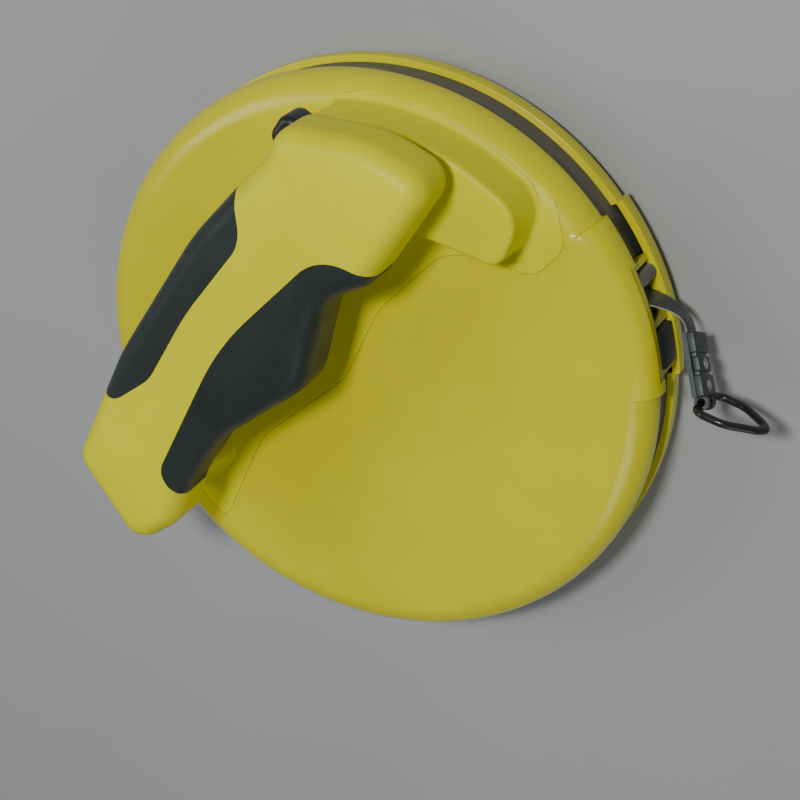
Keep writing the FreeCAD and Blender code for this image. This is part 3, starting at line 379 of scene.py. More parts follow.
def even_turns(start, end, steps):
    return [start + (end - start) * i / steps for i in range(steps + 1)]


band_bottom = BAND_LOW - BAND_LAP
band_top = BAND_HIGH + BAND_LAP
dish_radius = BAND_RADIUS - BAND_DISH
band_profile = [(BAND_INNER, band_bottom), (BAND_RADIUS, band_bottom), (BAND_RADIUS, BAND_LOW + 0.2)]
band_profile += [(dish_radius, BAND_LOW + 0.9), (dish_radius, BAND_HIGH - 0.9)]
band_profile += [(BAND_RADIUS, BAND_HIGH - 0.2), (BAND_RADIUS, band_top), (BAND_INNER, band_top)]
band_angles = even_turns(BAND_GAP_ANGLES[1], 360 + BAND_GAP_ANGLES[0], 280)
rim_band = lathe("rim_band_moulding", band_profile, band_angles)
finish_piece(rim_band, "case", "dark_band", DARK_BAND, "rim_band")


# ---- Front shell ----
# The front half of the case, moulded in the same glossy yellow. Its rim is rounded at 11 mm, and a shallow
# pocket in its face takes the handle's base plate, flush, with a hair-thin parting line.
FACE = 40.0
FRONT_ROUND = 11.0
PLATE_FLOOR = 37.7
FACE_UNDERSIDE = 37.3
FACE_LOOPS = (80.0, 60.0, 40.0, 20.0, 0.0)
FRONT_STEP_FROM = 97.0
front_arc = arc((CASE_RADIUS - FRONT_ROUND, FACE - FRONT_ROUND), FRONT_ROUND, 0, 90, 24)
front_edge = arc((CASE_RADIUS - EDGE, BAND_HIGH + EDGE), EDGE, -90, 0, 3)
front_face = [(radius, FACE) for radius in FACE_LOOPS]
front_profile = [(CASE_RADIUS - CASE_WALL, BAND_HIGH)] + front_edge + front_arc + front_face
front_profile += [(0.0, FACE_UNDERSIDE), (CASE_RADIUS - INNER_CORNER, FACE_UNDERSIDE)]
front_profile += arc((CASE_RADIUS - INNER_CORNER, FACE_UNDERSIDE - INNER_ROUND), INNER_ROUND, 90, 0, 8)
front_shell = lathe("front_shell_moulding", front_profile, stepped_from=FRONT_STEP_FROM)


def rounded_outline(corners, spacing=1.0):
    """Points along a closed outline through corners (x, y, radius), each corner rounded by a tangent arc."""
    count = len(corners)
    points = []
    for i in range(count):
        here = np.array(corners[i][:2], float)
        back = np.array(corners[i - 1][:2], float) - here
        on = np.array(corners[(i + 1) % count][:2], float) - here
        back /= np.linalg.norm(back)
        on /= np.linalg.norm(on)
        half = math.acos(max(-1.0, min(1.0, float(back @ on)))) / 2
        radius = corners[i][2]
        middle = (back + on) / np.linalg.norm(back + on)
        centre = here + middle * radius / math.sin(half)
        start = here + back * radius / math.tan(half) - centre
        end = here + on * radius / math.tan(half) - centre
        sweep = math.atan2(start[0] * end[1] - start[1] * end[0], float(start @ end))
        steps = max(1, int(abs(sweep) * radius / spacing)) if radius else 0
        first = math.atan2(start[1], start[0])
        for k in range(steps + 1):
            if not radius:
                points.append(here)
                continue
            angle = first + sweep * k / steps
            points.append(centre + radius * np.array((math.cos(angle), math.sin(angle))))
    dense = []
    for i, point in enumerate(points):
        after = points[(i + 1) % len(points)]
        reach = np.linalg.norm(after - point)
        pieces = max(1, int(round(reach / spacing)))
        dense += [point + (after - point) * k / pieces for k in range(pieces) if reach > 1e-6]
    return np.array(dense)


def inward_normals(points):
    along = np.roll(points, -1, 0) - np.roll(points, 1, 0)
    along /= np.linalg.norm(along, axis=1)[:, None]
    area = np.sum(points[:, 0] * np.roll(points[:, 1], -1) - np.roll(points[:, 0], -1) * points[:, 1])
    side = 1.0 if area > 0 else -1.0
    return np.stack((-along[:, 1], along[:, 0]), 1) * side


CAP_SHARES = (0.1, 0.22, 0.38, 0.58, 0.8, 1.0)


def slab(name, points, levels, crown=0.0, spine=None):
    """A solid from an outline. Each level is (inset, height), from the lowest to the highest.

    The top is closed by loops that run in to the spine, a line (x0, y0, x1, y1), where it is higher by
    the crown.
    """
    inward = inward_normals(points)
    count = len(points)
    loops = [np.column_stack((points + inward * inset, np.full(count, height))) for inset, height in levels]
    if spine is None:
        middle = points.mean(0)
        spine = (*middle, *middle)
    start = np.array(spine[:2])
    run = np.array(spine[2:]) - start
    span = max(float(run @ run), 1e-9)
    for top in (True, False):
        edge = loops[-1] if top else loops[0]
        along = np.clip((edge[:, :2] - start) @ run / span, 0, 1)
        goal = start + along[:, None] * run
        caps = []
        for share in CAP_SHARES:
            flat = edge[:, :2] + (goal - edge[:, :2]) * share
            rise = crown * (1 - (1 - share) ** 2) if top else 0.0
            caps.append(np.column_stack((flat, edge[:, 2] + rise)))
        loops = loops + caps if top else caps[::-1] + loops
    faces = []
    for i in range(len(loops) - 1):
        for k in range(count):
            m = (k + 1) % count
            faces.append((i * count + k, i * count + m, (i + 1) * count + m, (i + 1) * count + k))
    return new_piece(name, np.concatenate(loops), faces)


def prism_tool(points, low, high, inset=0.0):
    shifted = points + inward_normals(points) * inset
    count = len(shifted)
    around = [(x, y, z) for z in (low, high) for x, y in shifted]
    faces = [(i, (i + 1) % count, count + (i + 1) % count, count + i) for i in range(count)]
    faces += [tuple(range(count)), tuple(range(count, 2 * count))]
    return new_piece("cutter", around, faces)


HANDLE_TURN = math.radians(-37.9)


def to_case(points):
    """From the handle's own frame (u across the grip, v along it) to the case frame."""
    cosine = math.cos(HANDLE_TURN)
    sine = math.sin(HANDLE_TURN)
    return points @ np.array(((cosine, -sine), (sine, cosine))).T


PLATE_CORNERS = ((-6.0, 95.0, 6), (6.0, 104.6, 20), (37.0, 98.0, 50), (60.5, 84.5, 60), (78.0, 69.0, 14),
                 (81.0, 52.5, 8), (69.0, 41.0, 9), (50.0, 48.0, 14), (35.0, 46.5, 14), (9.0, 24.0, 26),
                 (-7.0, -4.0, 22), (-45.0, -32.0, 22), (-66.0, -70.0, 3), (-79.0, -54.0, 3),
                 (-40.0, 38.0, 50))
plate_outline = rounded_outline(PLATE_CORNERS)
PARTING_GAP = 0.14
base_plate = clone(front_shell, "base_plate")
combine(base_plate, prism_tool(plate_outline, PLATE_FLOOR, FACE + 5), "INTERSECT")
combine(front_shell, prism_tool(plate_outline, PLATE_FLOOR, FACE + 5, -PARTING_GAP), "DIFFERENCE")
RAIL_TOP = 32.0
RAIL_ANGLES = (1.4, 23.3)
RAIL_NOTCH_INNER = 98.0
RIM_SPACING = 0.6


def rim_stretch(name, angles, inner, outer, low, high):
    """A closed length of the rim, from one angle to the other."""
    steps = max(4, int(abs(angles[1] - angles[0]) / RIM_SPACING))
    return lathe(name, [(inner, low), (outer, low), (outer, high), (inner, high)], even_turns(*angles, steps))


rail_notch = rim_stretch("cutter", RAIL_ANGLES, RAIL_NOTCH_INNER, CASE_RADIUS + 10.0, 20.0, RAIL_TOP)
combine(front_shell, rail_notch, "DIFFERENCE")
smooth_mesh(front_shell)
finish_piece(front_shell, "case", "yellow_case", CASE_YELLOW, "front_shell")


# ---- Handle body ----
# The base plate, the arc-shaped pedestal, the foot and the rear half of the grip are one satin yellow
# moulding, screwed to the face. Soft radii run all round, and the pedestal's walls draft in by 0.7 mm.
HANDLE_YELLOW = moulded("handle_yellow", (0.68, 0.655, 0.0), 0.44,
                        grain=0.000012, wave=0.00012, soil=0.25, shine=0.3)
PEDESTAL_TOP = 58.0
PEDESTAL_EDGE = 1.8
PEDESTAL_DRAFT = 0.7
GRIP_LOW = 64.0
GRIP_HIGH = 89.0
GRIP_CROWN = 1.0
GRIP_UNDER_ROUND = 5.0
GRIP_TOP_REACH = 7.2
GRIP_TOP_DROP = 9.5
SPLIT = 72.0
PEDESTAL_CORNERS = ((-60.5, 80.2, 2), (-32.0, 101.7, 92), (16.5, 100.4, 13), (20.8, 78.4, 7),
                    (-12.0, 67.5, 30), (-60.5, 56.0, 4))
FOOT_CORNERS = ((-58.0, -66.0, 5), (-57.0, -82.0, 5), (-26.0, -91.5, 5), (-21.0, -66.0, 5))
GRIP_CORNERS = ((-8.3, 103.8, 9), (-35.0, 100.3, 55), (-62.3, 84.0, 10), (-60.2, 70.5, 5), (-63.5, 55.0, 60),
                (-67.8, 28.0, 90), (-68.0, -30.0, 90), (-61.5, -80.0, 9), (-24.0, -94.5, 9),
                (-16.3, -74.0, 14), (-21.0, -58.0, 14), (-21.0, -32.0, 40), (-6.3, 9.0, 18),
                (-17.5, 42.5, 14), (-8.3, 58.0, 9))
GRIP_SPINE = (-40.0, -66.0, -36.0, 80.0)


def edge_round(reach, low, high, steps=9):
    """Levels of a quarter-round edge that starts upright at low and ends flat at high."""
    turns = [math.pi / 2 * i / steps for i in range(steps + 1)]
    return [(reach * (1 - math.cos(a)), low + (high - low) * math.sin(a)) for a in turns]


def under_round(reach, low, high, steps=7):
    return [(inset, low + high - height) for inset, height in reversed(edge_round(reach, low, high, steps))]


def turned_slab(name, corners, levels, **more):
    return slab(name, to_case(rounded_outline(corners)), levels, **more)


spine_case = to_case(np.array(GRIP_SPINE).reshape(2, 2)).ravel()
grip_points = to_case(rounded_outline(GRIP_CORNERS, 0.8))
grip_levels = under_round(GRIP_UNDER_ROUND, GRIP_LOW, GRIP_LOW + GRIP_UNDER_ROUND)
grip_levels += edge_round(GRIP_TOP_REACH, GRIP_HIGH - GRIP_TOP_DROP, GRIP_HIGH - GRIP_CROWN, 12)
grip = slab("grip", grip_points, grip_levels, crown=GRIP_CROWN, spine=spine_case)
PALM_CORNERS = ((-95.0, 56.0, 0), (-63.0, 56.0, 8), (-50.8, 42.5, 14), (-54.0, 5.0, 120), (-52.6, -27.0, 18),
                (-60.0, -47.0, 9), (-95.0, -49.0, 0))
FINGER_CORNERS = ((20.0, 67.0, 0), (-6.0, 63.5, 14), (-27.0, 58.5, 16), (-38.0, 4.0, 110), (-31.5, -58.0, 9),
                  (-22.0, -61.5, 4), (20.0, -62.5, 0))
palm_points = to_case(rounded_outline(PALM_CORNERS))
finger_points = to_case(rounded_outline(FINGER_CORNERS))
PAD_GAP = 0.12
BELOW_GRIP = 50
ABOVE_GRIP = 100
palm_pad = clone(grip, "palm_pad")
combine(palm_pad, prism_tool(palm_points, BELOW_GRIP, ABOVE_GRIP), "INTERSECT")
finger_pad = clone(grip, "finger_pad")
combine(finger_pad, prism_tool(finger_points, BELOW_GRIP, ABOVE_GRIP), "INTERSECT")
for region in (palm_points, finger_points):
    combine(grip, prism_tool(region, BELOW_GRIP, ABOVE_GRIP, -PAD_GAP), "DIFFERENCE")
WIDE = np.array(((-200.0, -200.0), (200.0, -200.0), (200.0, 200.0), (-200.0, 200.0)))
SEAM = 0.11
cover = clone(grip, "handle_cover_moulding")
combine(cover, prism_tool(WIDE, SPLIT + SEAM, ABOVE_GRIP), "INTERSECT")
combine(grip, prism_tool(WIDE, BELOW_GRIP, SPLIT - SEAM), "INTERSECT")

pedestal_levels = [(-1.8, FACE - 0.3), (-1.0, FACE + 0.15), (-0.4, FACE + 0.7), (0.0, FACE + 1.8)]
pedestal_edge = edge_round(PEDESTAL_EDGE, PEDESTAL_TOP - PEDESTAL_EDGE, PEDESTAL_TOP, 6)
pedestal_levels += [(PEDESTAL_DRAFT + inset, height) for inset, height in pedestal_edge]
pedestal = turned_slab("pedestal", PEDESTAL_CORNERS, pedestal_levels)
HEAD_CORNERS = ((-9.6, 102.6, 9), (-35.0, 99.2, 90), (-60.8, 83.4, 8), (-60.8, 56.0, 3), (-9.6, 59.0, 3))
HEAD_SUNK = 2.0
HEAD_LAP = 4.0
head = turned_slab("head", HEAD_CORNERS, [(0.0, PEDESTAL_TOP - HEAD_SUNK), (0.0, GRIP_LOW + HEAD_LAP)])
foot_levels = [(-4.0, FACE - 0.6), (-2.2, FACE + 0.2), (-1.0, FACE + 1.2), (-0.3, FACE + 2.8)]
foot_levels.append((0.0, FACE + 5.0))
foot_levels += [(0.0, GRIP_LOW - 4.0), (-0.3, GRIP_LOW - 1.5), (-1.2, GRIP_LOW + 1.0)]
foot = turned_slab("foot", FOOT_CORNERS, foot_levels)
handle_body = grip
handle_body.name = "handle_body_moulding"
for part in (head, foot, pedestal, base_plate):
    combine(handle_body, part, "UNION")


# ---- Thumb button ----
# A rounded black cap that stands out of the head beside the thumb. It slides 3.5 mm into the head
# on a moulded guide, and the brake spring pushes it back.
BLACK_PLASTIC = moulded("black_plastic", (0.014, 0.016, 0.016), 0.38, grain=0.00002)
BUTTON_CORNERS = ((-66.3, 69.2, 4.5), (-66.3, 81.8, 4.5), (-54.2, 81.8, 0.5), (-54.2, 69.2, 0.5))
BUTTON_LOW = 58.9
BUTTON_HIGH = 71.7
BUTTON_ROUND = 2.5
button_levels = under_round(BUTTON_ROUND, BUTTON_LOW, BUTTON_LOW + BUTTON_ROUND)
button_levels += edge_round(BUTTON_ROUND, BUTTON_HIGH - BUTTON_ROUND, BUTTON_HIGH)
button = turned_slab("thumb_button_cap", BUTTON_CORNERS, button_levels)
BUTTON_PORT = ((-75.0, 68.7, 0), (-75.0, 82.3, 0), (-50.0, 82.3, 0), (-50.0, 68.7, 0))
PORT_ROOM_BELOW = 0.3
PORT_ROOM_ABOVE = 0.1
port_points = to_case(rounded_outline(BUTTON_PORT))
port = prism_tool(port_points, BUTTON_LOW - PORT_ROOM_BELOW, BUTTON_HIGH + PORT_ROOM_ABOVE)
combine(handle_body, port, "DIFFERENCE")
smooth_mesh(handle_body)
smooth_mesh(cover)
finish_piece(handle_body, "case", "yellow_handle", HANDLE_YELLOW, "handle_body")
finish_piece(cover, "case", "yellow_handle", HANDLE_YELLOW, "handle_cover")
finish_piece(button, "thumb_button", "black_plastic", BLACK_PLASTIC, "thumb_button")


# ---- Rubber pads ----
# Soft black-green rubber is moulded over the palm side and the finger side of the grip, flush with
# the yellow, and its surface is matt and slightly greasy from handling.
def rubber():
    material, tree, shader = node_material("black_rubber")
    tint = ramp(tree, noise(tree, 30.0, 5.0), ((0.3, (0.0075, 0.0155, 0.0140)), (0.7, (0.012, 0.023, 0.021))))
    tree.links.new(tint, shader.inputs["Base Color"])
    tree.links.new(spread(tree, noise(tree, 70.0, 7.0), 0.46, 0.66), shader.inputs["Roughness"])
    bump(tree, shader, noise(tree, 1800.0, 3.0), 0.00004, 0.6)
    shader.inputs["Sheen Weight"].default_value = 0.06
    return material


BLACK_RUBBER = rubber()
for pad, node in ((palm_pad, "palm_grip"), (finger_pad, "finger_grip")):
    smooth_mesh(pad)
    finish_piece(pad, "case", "black_rubber", BLACK_RUBBER, node)


# ---- Tape mouth ----
# A small yellow frame is let into the rim at the mouth. It has a front rail and a rear rail, two end walls
# and a slanted lip under the tape. A nylon roller on a steel pin guides the tape out.
MOUTH_ANGLES = (1.5, 23.2)
MOUTH_INNER = 103.0
FRONT_RAIL_OUTER = 109.1
REAR_RAIL_OUTER = 107.6
WALL_OUTER = 108.3
WALL_INNER = 101.0
LIP_INNER = 102.0
WALL_SPAN = 1.1
WALL_LOW = 13.05
WALL_HIGH = 27.3
LIP_ANGLES = (10.7, 12.1)
rail_profile = [(MOUTH_INNER, 27.1), (FRONT_RAIL_OUTER - 0.2, 27.1), (FRONT_RAIL_OUTER, 27.4)]
rail_profile += [(FRONT_RAIL_OUTER, 30.5), (FRONT_RAIL_OUTER - 0.4, 31.1), (MOUTH_INNER, 31.1)]
mouth = lathe("mouth_frame_moulding", rail_profile, even_turns(*MOUTH_ANGLES, 36))
first_wall = (MOUTH_ANGLES[0], MOUTH_ANGLES[0] + WALL_SPAN)
last_wall = (MOUTH_ANGLES[1] - WALL_SPAN, MOUTH_ANGLES[1])
mouth_bars = ((MOUTH_ANGLES, MOUTH_INNER, REAR_RAIL_OUTER, BAND_LOW, BAND_LOW + 0.6),
              (first_wall, WALL_INNER, WALL_OUTER, WALL_LOW, WALL_HIGH),
              (last_wall, WALL_INNER, WALL_OUTER, WALL_LOW, WALL_HIGH),
              (LIP_ANGLES, LIP_INNER, WALL_OUTER, WALL_LOW, WALL_HIGH))
for angles, inner, outer, low, high in mouth_bars:
    combine(mouth, rim_stretch("bar", angles, inner, outer, low, high), "UNION")
smooth_mesh(mouth)
finish_piece(mouth, "case", "yellow_case", CASE_YELLOW, "mouth_frame")


# ---- Bumper ----
# A block of black rubber beside the mouth takes the knock of the end clamp when the tape runs home.
# Its outer face is slightly crowned and its edges are worn round.
BUMPER_ANGLES = (3.0, 10.2)
BUMPER_INNER = 104.5
BUMPER_OUTER = 110.0
BUMPER_LOW = 15.0
BUMPER_HIGH = 26.4
BUMPER_CROWN = 20.2
bumper_shoulder = BUMPER_OUTER - 0.8
bumper_near_crown = BUMPER_OUTER - 0.1
bumper_profile = [(BUMPER_INNER, BUMPER_LOW), (bumper_shoulder, BUMPER_LOW)]
bumper_profile += [(bumper_near_crown, BUMPER_LOW + 0.9), (BUMPER_OUTER, BUMPER_CROWN)]
bumper_profile += [(bumper_near_crown, BUMPER_HIGH - 1.5), (bumper_shoulder, BUMPER_HIGH)]
bumper_profile.append((BUMPER_INNER, BUMPER_HIGH))
bumper = lathe("mouth_bumper_block", bumper_profile, even_turns(*BUMPER_ANGLES, 16))
finish_piece(bumper, "case", "black_rubber", BLACK_RUBBER, "mouth_bumper")


# ---- Tape ----
# The tape is dark coated fibreglass, 13 mm wide. It runs straight back to the coil, and outside the mouth it
# bends over and twists a little to meet the end clamp. Its edges are painted paler, as a painted highlight.
def tape_coating():
    material, tree, shader = node_material("tape")
    weave = tree.nodes.new("ShaderNodeTexWave")
    weave.inputs["Scale"].default_value = 420.0
    weave.inputs["Distortion"].default_value = 1.5
    shade = ramp(tree, weave.outputs["Fac"], ((0.2, (0.016, 0.026, 0.026)), (0.8, (0.026, 0.040, 0.039))))
    across = tree.nodes.new("ShaderNodeUVMap")
    split = tree.nodes.new("ShaderNodeSeparateXYZ")
    tree.links.new(across.outputs["UV"], split.inputs["Vector"])
    white = (1, 1, 1)
    black = (0, 0, 0)
    # Painted highlight: a paler grey is laid along both edges of the tape.
    edge = ramp(tree, split.outputs["Y"], ((0.0, white), (0.045, black), (0.955, black), (1.0, white)))
    tree.links.new(lay_over(tree, edge, shade, (0.30, 0.33, 0.33)), shader.inputs["Base Color"])
    tree.links.new(spread(tree, noise(tree, 160.0, 6.0), 0.28, 0.5), shader.inputs["Roughness"])
    bump(tree, shader, weave.outputs["Fac"], 0.00003, 0.4)
    return material


TAPE = tape_coating()
TAPE_WIDTH = 13.0
TAPE_THICKNESS = 0.42
TAPE_EXIT = Vector((101.06, 29.93, 20.25))
TAPE_HEADING = Vector((0.7158, -0.6983, 0.0))
CLAMP_TOP = Vector((117.0, 17.5, 20.0))
CLAMP_ALONG = Vector((0.2704, -0.8813, 0.3876))
CLAMP_ACROSS = Vector((-0.0400, -0.4105, -0.9110))
CLAMP_OUT = CLAMP_ALONG.cross(CLAMP_ACROSS)
TAIL_LENGTH = 39.3
TAPE_NIP = 0.5
BEND_START = 5.5
BEND_LIFT = Vector((2.2, 2.2, 0))
BEND_END = 9.5
BEND_BULGE = 0.6


def bezier(a, b, c, d, t):
    return a * (1 - t) ** 3 + b * 3 * t * (1 - t) ** 2 + c * 3 * t * t * (1 - t) + d * t ** 3


def ribbon(name, centres, widths, normals, width, thickness):
    """A thin strip with rounded edges along a line of centres."""
    flat = width / 2 - thickness / 2
    tip = flat + 0.5 * thickness
    slope = flat + 0.35 * thickness
    section = [(flat, -0.5), (slope, -0.35), (tip, 0.0), (slope, 0.35), (flat, 0.5), (0.0, 0.5)]
    section += [(-across, -out) for across, out in section]
    points = []
    for centre, side, out in zip(centres, widths, normals):
        points += [centre + side * a + out * (b * thickness) for a, b in section]
    count = len(section)
    last = (len(centres) - 1) * count
    faces = []
    for row in range(0, last, count):
        after = row + count
        faces += [(row + k, after + k, after + (k + 1) % count, row + (k + 1) % count) for k in range(count)]
    faces += [tuple(range(count)), tuple(last + k for k in range(count))]
    strip = new_piece(name, points, faces)
    mapping = strip.data.uv_layers.new(name="across_width")
    places = np.array([v.co for v in strip.data.vertices])
    middle = np.array([c * MM for c in centres])
    wide = np.array(widths)
    for loop in strip.data.loops:
        near = int(np.argmin(((middle - places[loop.vertex_index]) ** 2).sum(1)))
        offset = float((places[loop.vertex_index] - middle[near]) @ wide[near]) / (width * MM)
        mapping.data[loop.index].uv = (near / len(centres), 0.5 + offset)
    return strip


tape_start = TAPE_EXIT - TAPE_HEADING * TAIL_LENGTH
tape_end = CLAMP_TOP + CLAMP_ALONG * TAPE_NIP
TAIL_STEPS = 24
BEND_STEPS = 40
tail_line = [tape_start + TAPE_HEADING * TAIL_LENGTH * i / TAIL_STEPS for i in range(TAIL_STEPS)]
bend_rise = TAPE_EXIT + TAPE_HEADING * BEND_START + BEND_LIFT
bend_fall = tape_end - CLAMP_ALONG * BEND_END + CLAMP_OUT * BEND_BULGE
bend = [bezier(TAPE_EXIT, bend_rise, bend_fall, tape_end, i / BEND_STEPS) for i in range(BEND_STEPS + 1)]
centres = tail_line + bend
sides = []
normals = []
for i, centre in enumerate(centres):
    share = max(0.0, (i - len(tail_line)) / BEND_STEPS)
    ease = share * share * (3 - 2 * share)
    lean = Vector((0, 0, 1)).lerp(-CLAMP_ACROSS, ease)
    ahead = (centres[min(i + 1, len(centres) - 1)] - centres[max(i - 1, 0)]).normalized()
    lean = (lean - ahead * lean.dot(ahead)).normalized()
    sides.append(lean)
    normals.append(ahead.cross(lean))
tape_lead = ribbon("tape_lead_strip", centres, sides, normals, TAPE_WIDTH, TAPE_THICKNESS)
finish_piece(tape_lead, "tape_end", "tape", TAPE, "tape_lead")


# ---- End clamp ----
# The tape's end is nipped between a stepped black steel clamp and its back plate, held by two rivets whose
# heads have worn bright. Three raised blocks with narrow necks between them run down its length.
def black_steel():
    material, tree, shader = node_material("black_metal")
    wear = noise(tree, 210.0, 9.0, 0.75)
    shade = ramp(tree, wear, ((0.60, (0.022, 0.030, 0.033)), (0.72, (0.075, 0.085, 0.088))))
    tree.links.new(shade, shader.inputs["Base Color"])
    tree.links.new(spread(tree, wear, 0.34, 0.55), shader.inputs["Roughness"])
    shader.inputs["Metallic"].default_value = 0.25
    bump(tree, shader, noise(tree, 700.0, 5.0), 0.00005, 0.5)
    return material


def worn_zinc(name="zinc", tint=(0.52, 0.53, 0.54), rough=0.38):
    material, tree, shader = node_material(name)
    stain = noise(tree, 330.0, 8.0, 0.7)
    darker = tuple(c * 0.62 for c in tint)
    tree.links.new(ramp(tree, stain, ((0.35, darker), (0.65, tint))), shader.inputs["Base Color"])
    tree.links.new(spread(tree, stain, rough * 0.8, rough * 1.3), shader.inputs["Roughness"])
    shader.inputs["Metallic"].default_value = 0.95
    bump(tree, shader, noise(tree, 900.0, 4.0), 0.00002, 0.4)
    return material


BLACK_METAL = black_steel()
ZINC = worn_zinc()
CLAMP_WIDTH = 16.8
CLAMP_THICKNESS = 3.0
CLAMP_LENGTH = 22.2
CLAMP_BLOCKS = ((0.0, 7.2, CLAMP_WIDTH), (8.4, 13.6, CLAMP_WIDTH - 2.0), (14.8, CLAMP_LENGTH, CLAMP_WIDTH))
CLAMP_LOW = 0.25
NECK_WIDTH = CLAMP_WIDTH - 3.4
NECK_THICKNESS = 2.2
NECK_INSET = 0.6
NECK_SOFT = 0.2
BLOCK_SOFT = 0.45
CLAMP_SHARP_ANGLE = 50


def on_clamp(across, along, out):
    return CLAMP_TOP + CLAMP_ACROSS * across + CLAMP_ALONG * along + CLAMP_OUT * out


def soft_box_piece(name, width, start, end, low, high, soft):
    """A block on the clamp's own axes, with rounded edges."""
    corners = [on_clamp(a, b, c) for a in (-width / 2, width / 2) for b in (start, end) for c in (low, high)]
    faces = [(0, 1, 3, 2), (4, 6, 7, 5), (0, 4, 5, 1), (2, 3, 7, 6), (0, 2, 6, 4), (1, 5, 7, 3)]
    piece = new_piece(name, corners, faces)
    body = bmesh.new()
    body.from_mesh(piece.data)
    bmesh.ops.bevel(body, geom=list(body.edges), offset=soft * MM, segments=4, profile=0.5, affect="EDGES")
    body.to_mesh(piece.data)
    body.free()
    return piece


end_clamp = soft_box_piece("end_clamp_pressing", NECK_WIDTH, NECK_INSET, CLAMP_LENGTH - NECK_INSET,
                           CLAMP_LOW, NECK_THICKNESS, NECK_SOFT)
for start, end, width in CLAMP_BLOCKS:
    block = soft_box_piece("block", width, start, end, CLAMP_LOW, CLAMP_THICKNESS, BLOCK_SOFT)
    combine(end_clamp, block, "UNION")
smooth_mesh(end_clamp, CLAMP_SHARP_ANGLE)
finish_piece(end_clamp, "tape_end", "black_metal", BLACK_METAL, "end_clamp")

RIVET_PLACES = (11.0, 18.5)
RIVET_HEAD_RADIUS = 2.0
RIVET_HEAD_HEIGHT = 0.7475
RIVET_SEAT = 0.0325


def rivet_head(place, sides=32):
    """A domed head on the clamp's centre line: a point at the top, then rings that widen down to the seat."""
    dome = [math.radians(a) for a in range(15, 91, 15)]
    rings = [(RIVET_HEAD_RADIUS * math.sin(a), RIVET_HEAD_HEIGHT * math.cos(a)) for a in dome]
    rings.append((RIVET_HEAD_RADIUS, -RIVET_SEAT))
    around = [2 * math.pi * k / sides for k in range(sides)]
    points = [on_clamp(0, place, CLAMP_THICKNESS + RIVET_HEAD_HEIGHT)]
    points += [on_clamp(radius * math.cos(a), place + radius * math.sin(a), CLAMP_THICKNESS + lift)
               for radius, lift in rings for a in around]
    faces = [(0, 1 + k, 1 + (k + 1) % sides) for k in range(sides)]
    last = 1 + (len(rings) - 1) * sides
    for row in range(1, last, sides):
        below = row + sides
        faces += [(row + k, below + k, below + (k + 1) % sides, row + (k + 1) % sides) for k in range(sides)]
    faces.append(tuple(last + k for k in range(sides)))
    return new_piece("clamp_rivet_head", points, faces)


rivets = [rivet_head(place) for place in RIVET_PLACES]
combine(rivets[0], rivets[1], "UNION")
smooth_mesh(rivets[0])
finish_piece(rivets[0], "tape_end", "zinc", ZINC, "clamp_rivets")


# ---- End ring ----
# A rounded ring of glossy black-coated wire hangs loosely in the curled eye of the clamp, a little askew.
# It hooks over a nail or a finger.
RING_PIVOT = Vector((124.067, -3.513, 29.214))
RING_WIRE = 1.4
RING_BAR = Vector((0.09, -0.12, -0.99)).normalized()
RING_REACH = Vector((0.95, -0.28, 0.12))
RING_REACH = (RING_REACH - RING_BAR * RING_REACH.dot(RING_BAR)).normalized()
COATED_WIRE = moulded("coated_wire", (0.012, 0.014, 0.015), 0.22, grain=0.00001)


def tube(name, path, radius, sides=24):
    """A closed tube along a closed path."""
    points = []
    count = len(path)
    reference = RING_BAR.cross(RING_REACH).normalized()
    for i in range(count):
        ahead = (path[(i + 1) % count] - path[i - 1]).normalized()
        side = reference.cross(ahead).normalized()
        for k in range(sides):
            turn = 2 * math.pi * k / sides
            points.append(path[i] + side * (radius * math.cos(turn)) + reference * (radius * math.sin(turn)))
    faces = []
    for i in range(count):
        row = i * sides
        after = (row + sides) % (count * sides)
        faces += [(row + k, after + k, after + (k + 1) % sides, row + (k + 1) % sides) for k in range(sides)]
    return new_piece(name, points, faces)


RING_HALF = 10.0
RING_SHOULDER = 11.0
RING_TIP_HALF = 2.2
RING_LENGTH = 22.6
RING_CORNERS = ((-RING_HALF, 0.0, 4), (RING_HALF, 0.0, 4), (RING_HALF, RING_SHOULDER, 10),
                (RING_TIP_HALF, RING_LENGTH, 7), (-RING_TIP_HALF, RING_LENGTH, 7),
                (-RING_HALF, RING_SHOULDER, 10))
ring_outline = rounded_outline(RING_CORNERS, 0.6)
ring_path = [RING_PIVOT + RING_BAR * float(a) + RING_REACH * float(b) for a, b in ring_outline]
end_ring = tube("end_ring_wire", ring_path, RING_WIRE)
finish_piece(end_ring, "end_ring", "black_metal", COATED_WIRE, "end_ring")


# ---- Clamp plate and fasteners ----
# The clamp's back plate is black steel. The case screws, handle screws and pins are zinc-plated steel,
# with faint stains on the plating.
SOFT_EDGE_ANGLE = 40


def dress(material, *names, soft=0.0):
    """Give pieces that keep their CAD shape a finish, and break their sharp edges a little."""
    for name in names:
        piece = nodes[name]
        piece.data.materials.clear()
        piece.data.materials.append(material)
        if soft:
            bevel = piece.modifiers.new("soft_edges", "BEVEL")
            bevel.width = soft * MM
            bevel.segments = 2
            bevel.limit_method = "ANGLE"
            bevel.angle_limit = math.radians(SOFT_EDGE_ANGLE)
            bevel.harden_normals = True


dress(BLACK_METAL, "clamp_plate")
dress(ZINC, "case_screws", "handle_screws", "hub_screw", "cup_screws", "roller_pin", "brake_lever_pin",
      "crank_hinge_pin", "knob_pin", "planet_pins", "axle_pin")


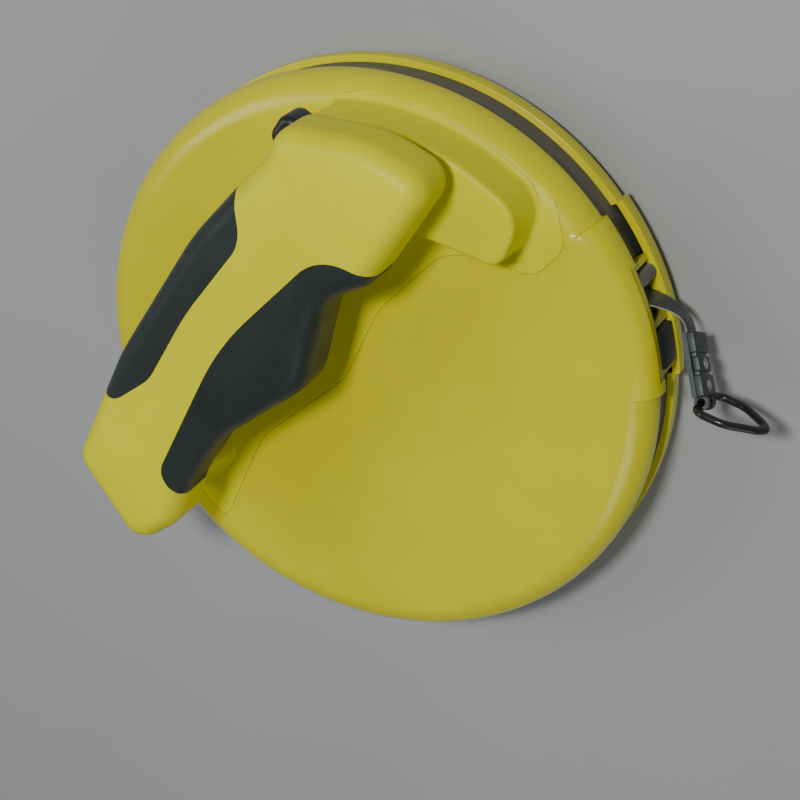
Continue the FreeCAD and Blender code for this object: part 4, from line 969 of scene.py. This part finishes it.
# ---- Reel ----
# The drum and its two flanges are black ABS, and the coil on them is about 50 m of tape in fine layers.
# The drum turns on a brass bush and a steel axle.
def coil_layers():
    """Fine rings about the reel's axis, for the edges of the wound tape."""
    material, tree, shader = node_material("wound_tape")
    place = tree.nodes.new("ShaderNodeTexCoord")
    rings = tree.nodes.new("ShaderNodeTexWave")
    rings.wave_type = "RINGS"
    rings.rings_direction = "Z"
    rings.inputs["Scale"].default_value = 700.0
    rings.inputs["Distortion"].default_value = 0.4
    tree.links.new(place.outputs["Object"], rings.inputs["Vector"])
    shade = ramp(tree, rings.outputs["Fac"], ((0.15, (0.016, 0.024, 0.023)), (0.85, (0.05, 0.065, 0.062))))
    tree.links.new(shade, shader.inputs["Base Color"])
    shader.inputs["Roughness"].default_value = 0.5
    bump(tree, shader, rings.outputs["Fac"], 0.0001, 0.5)
    return material


BRASS = worn_zinc("brass", (0.62, 0.42, 0.16), 0.3)
dress(BLACK_PLASTIC, "drum", "rear_flange", "front_flange")
dress(coil_layers(), "tape_coil")
dress(BRASS, "rear_bush")


# ---- Spring motor ----
# White nylon gears carry the drum's turning to a flat steel mainspring in a pressed cup. The sun is on the
# drum, three planets turn on the carrier, and the ring gear is fixed in the cup.
WHITE_NYLON = moulded("white_nylon", (0.62, 0.61, 0.56), 0.42, grain=0.00002)
GREY_NYLON = moulded("grey_nylon", (0.11, 0.115, 0.11), 0.38, grain=0.00002)
SPRING_STEEL = worn_zinc("spring_steel", (0.27, 0.29, 0.33), 0.28)
dress(WHITE_NYLON, "sun_gear", "ring_gear", "planet_gear_1", "planet_gear_2", "planet_gear_3")
dress(BLACK_PLASTIC, "planet_carrier")
dress(SPRING_STEEL, "mainspring")
dress(ZINC, "spring_cup")
dress(GREY_NYLON, "guide_roller")


# ---- Winding crank ----
# A black hub plate sits in the well in the back. Its arm folds flat into a slot, and a round knob turns
# on the arm's end. All three are glass-filled nylon with softened edges.
CRANK_NYLON = moulded("crank_nylon", (0.018, 0.019, 0.019), 0.46, grain=0.00004, wave=0.0001)
dress(CRANK_NYLON, "crank_hub", "crank_arm", "crank_knob", soft=0.3)


# ---- Brake ----
# The thumb button rocks a grey lever, which pushes a plunger down against a coil spring. A rubber pad on the
# plunger's foot then presses on the reel.
dress(GREY_NYLON, "brake_lever", "brake_plunger")
dress(BLACK_RUBBER, "brake_pad")
dress(SPRING_STEEL, "brake_spring")
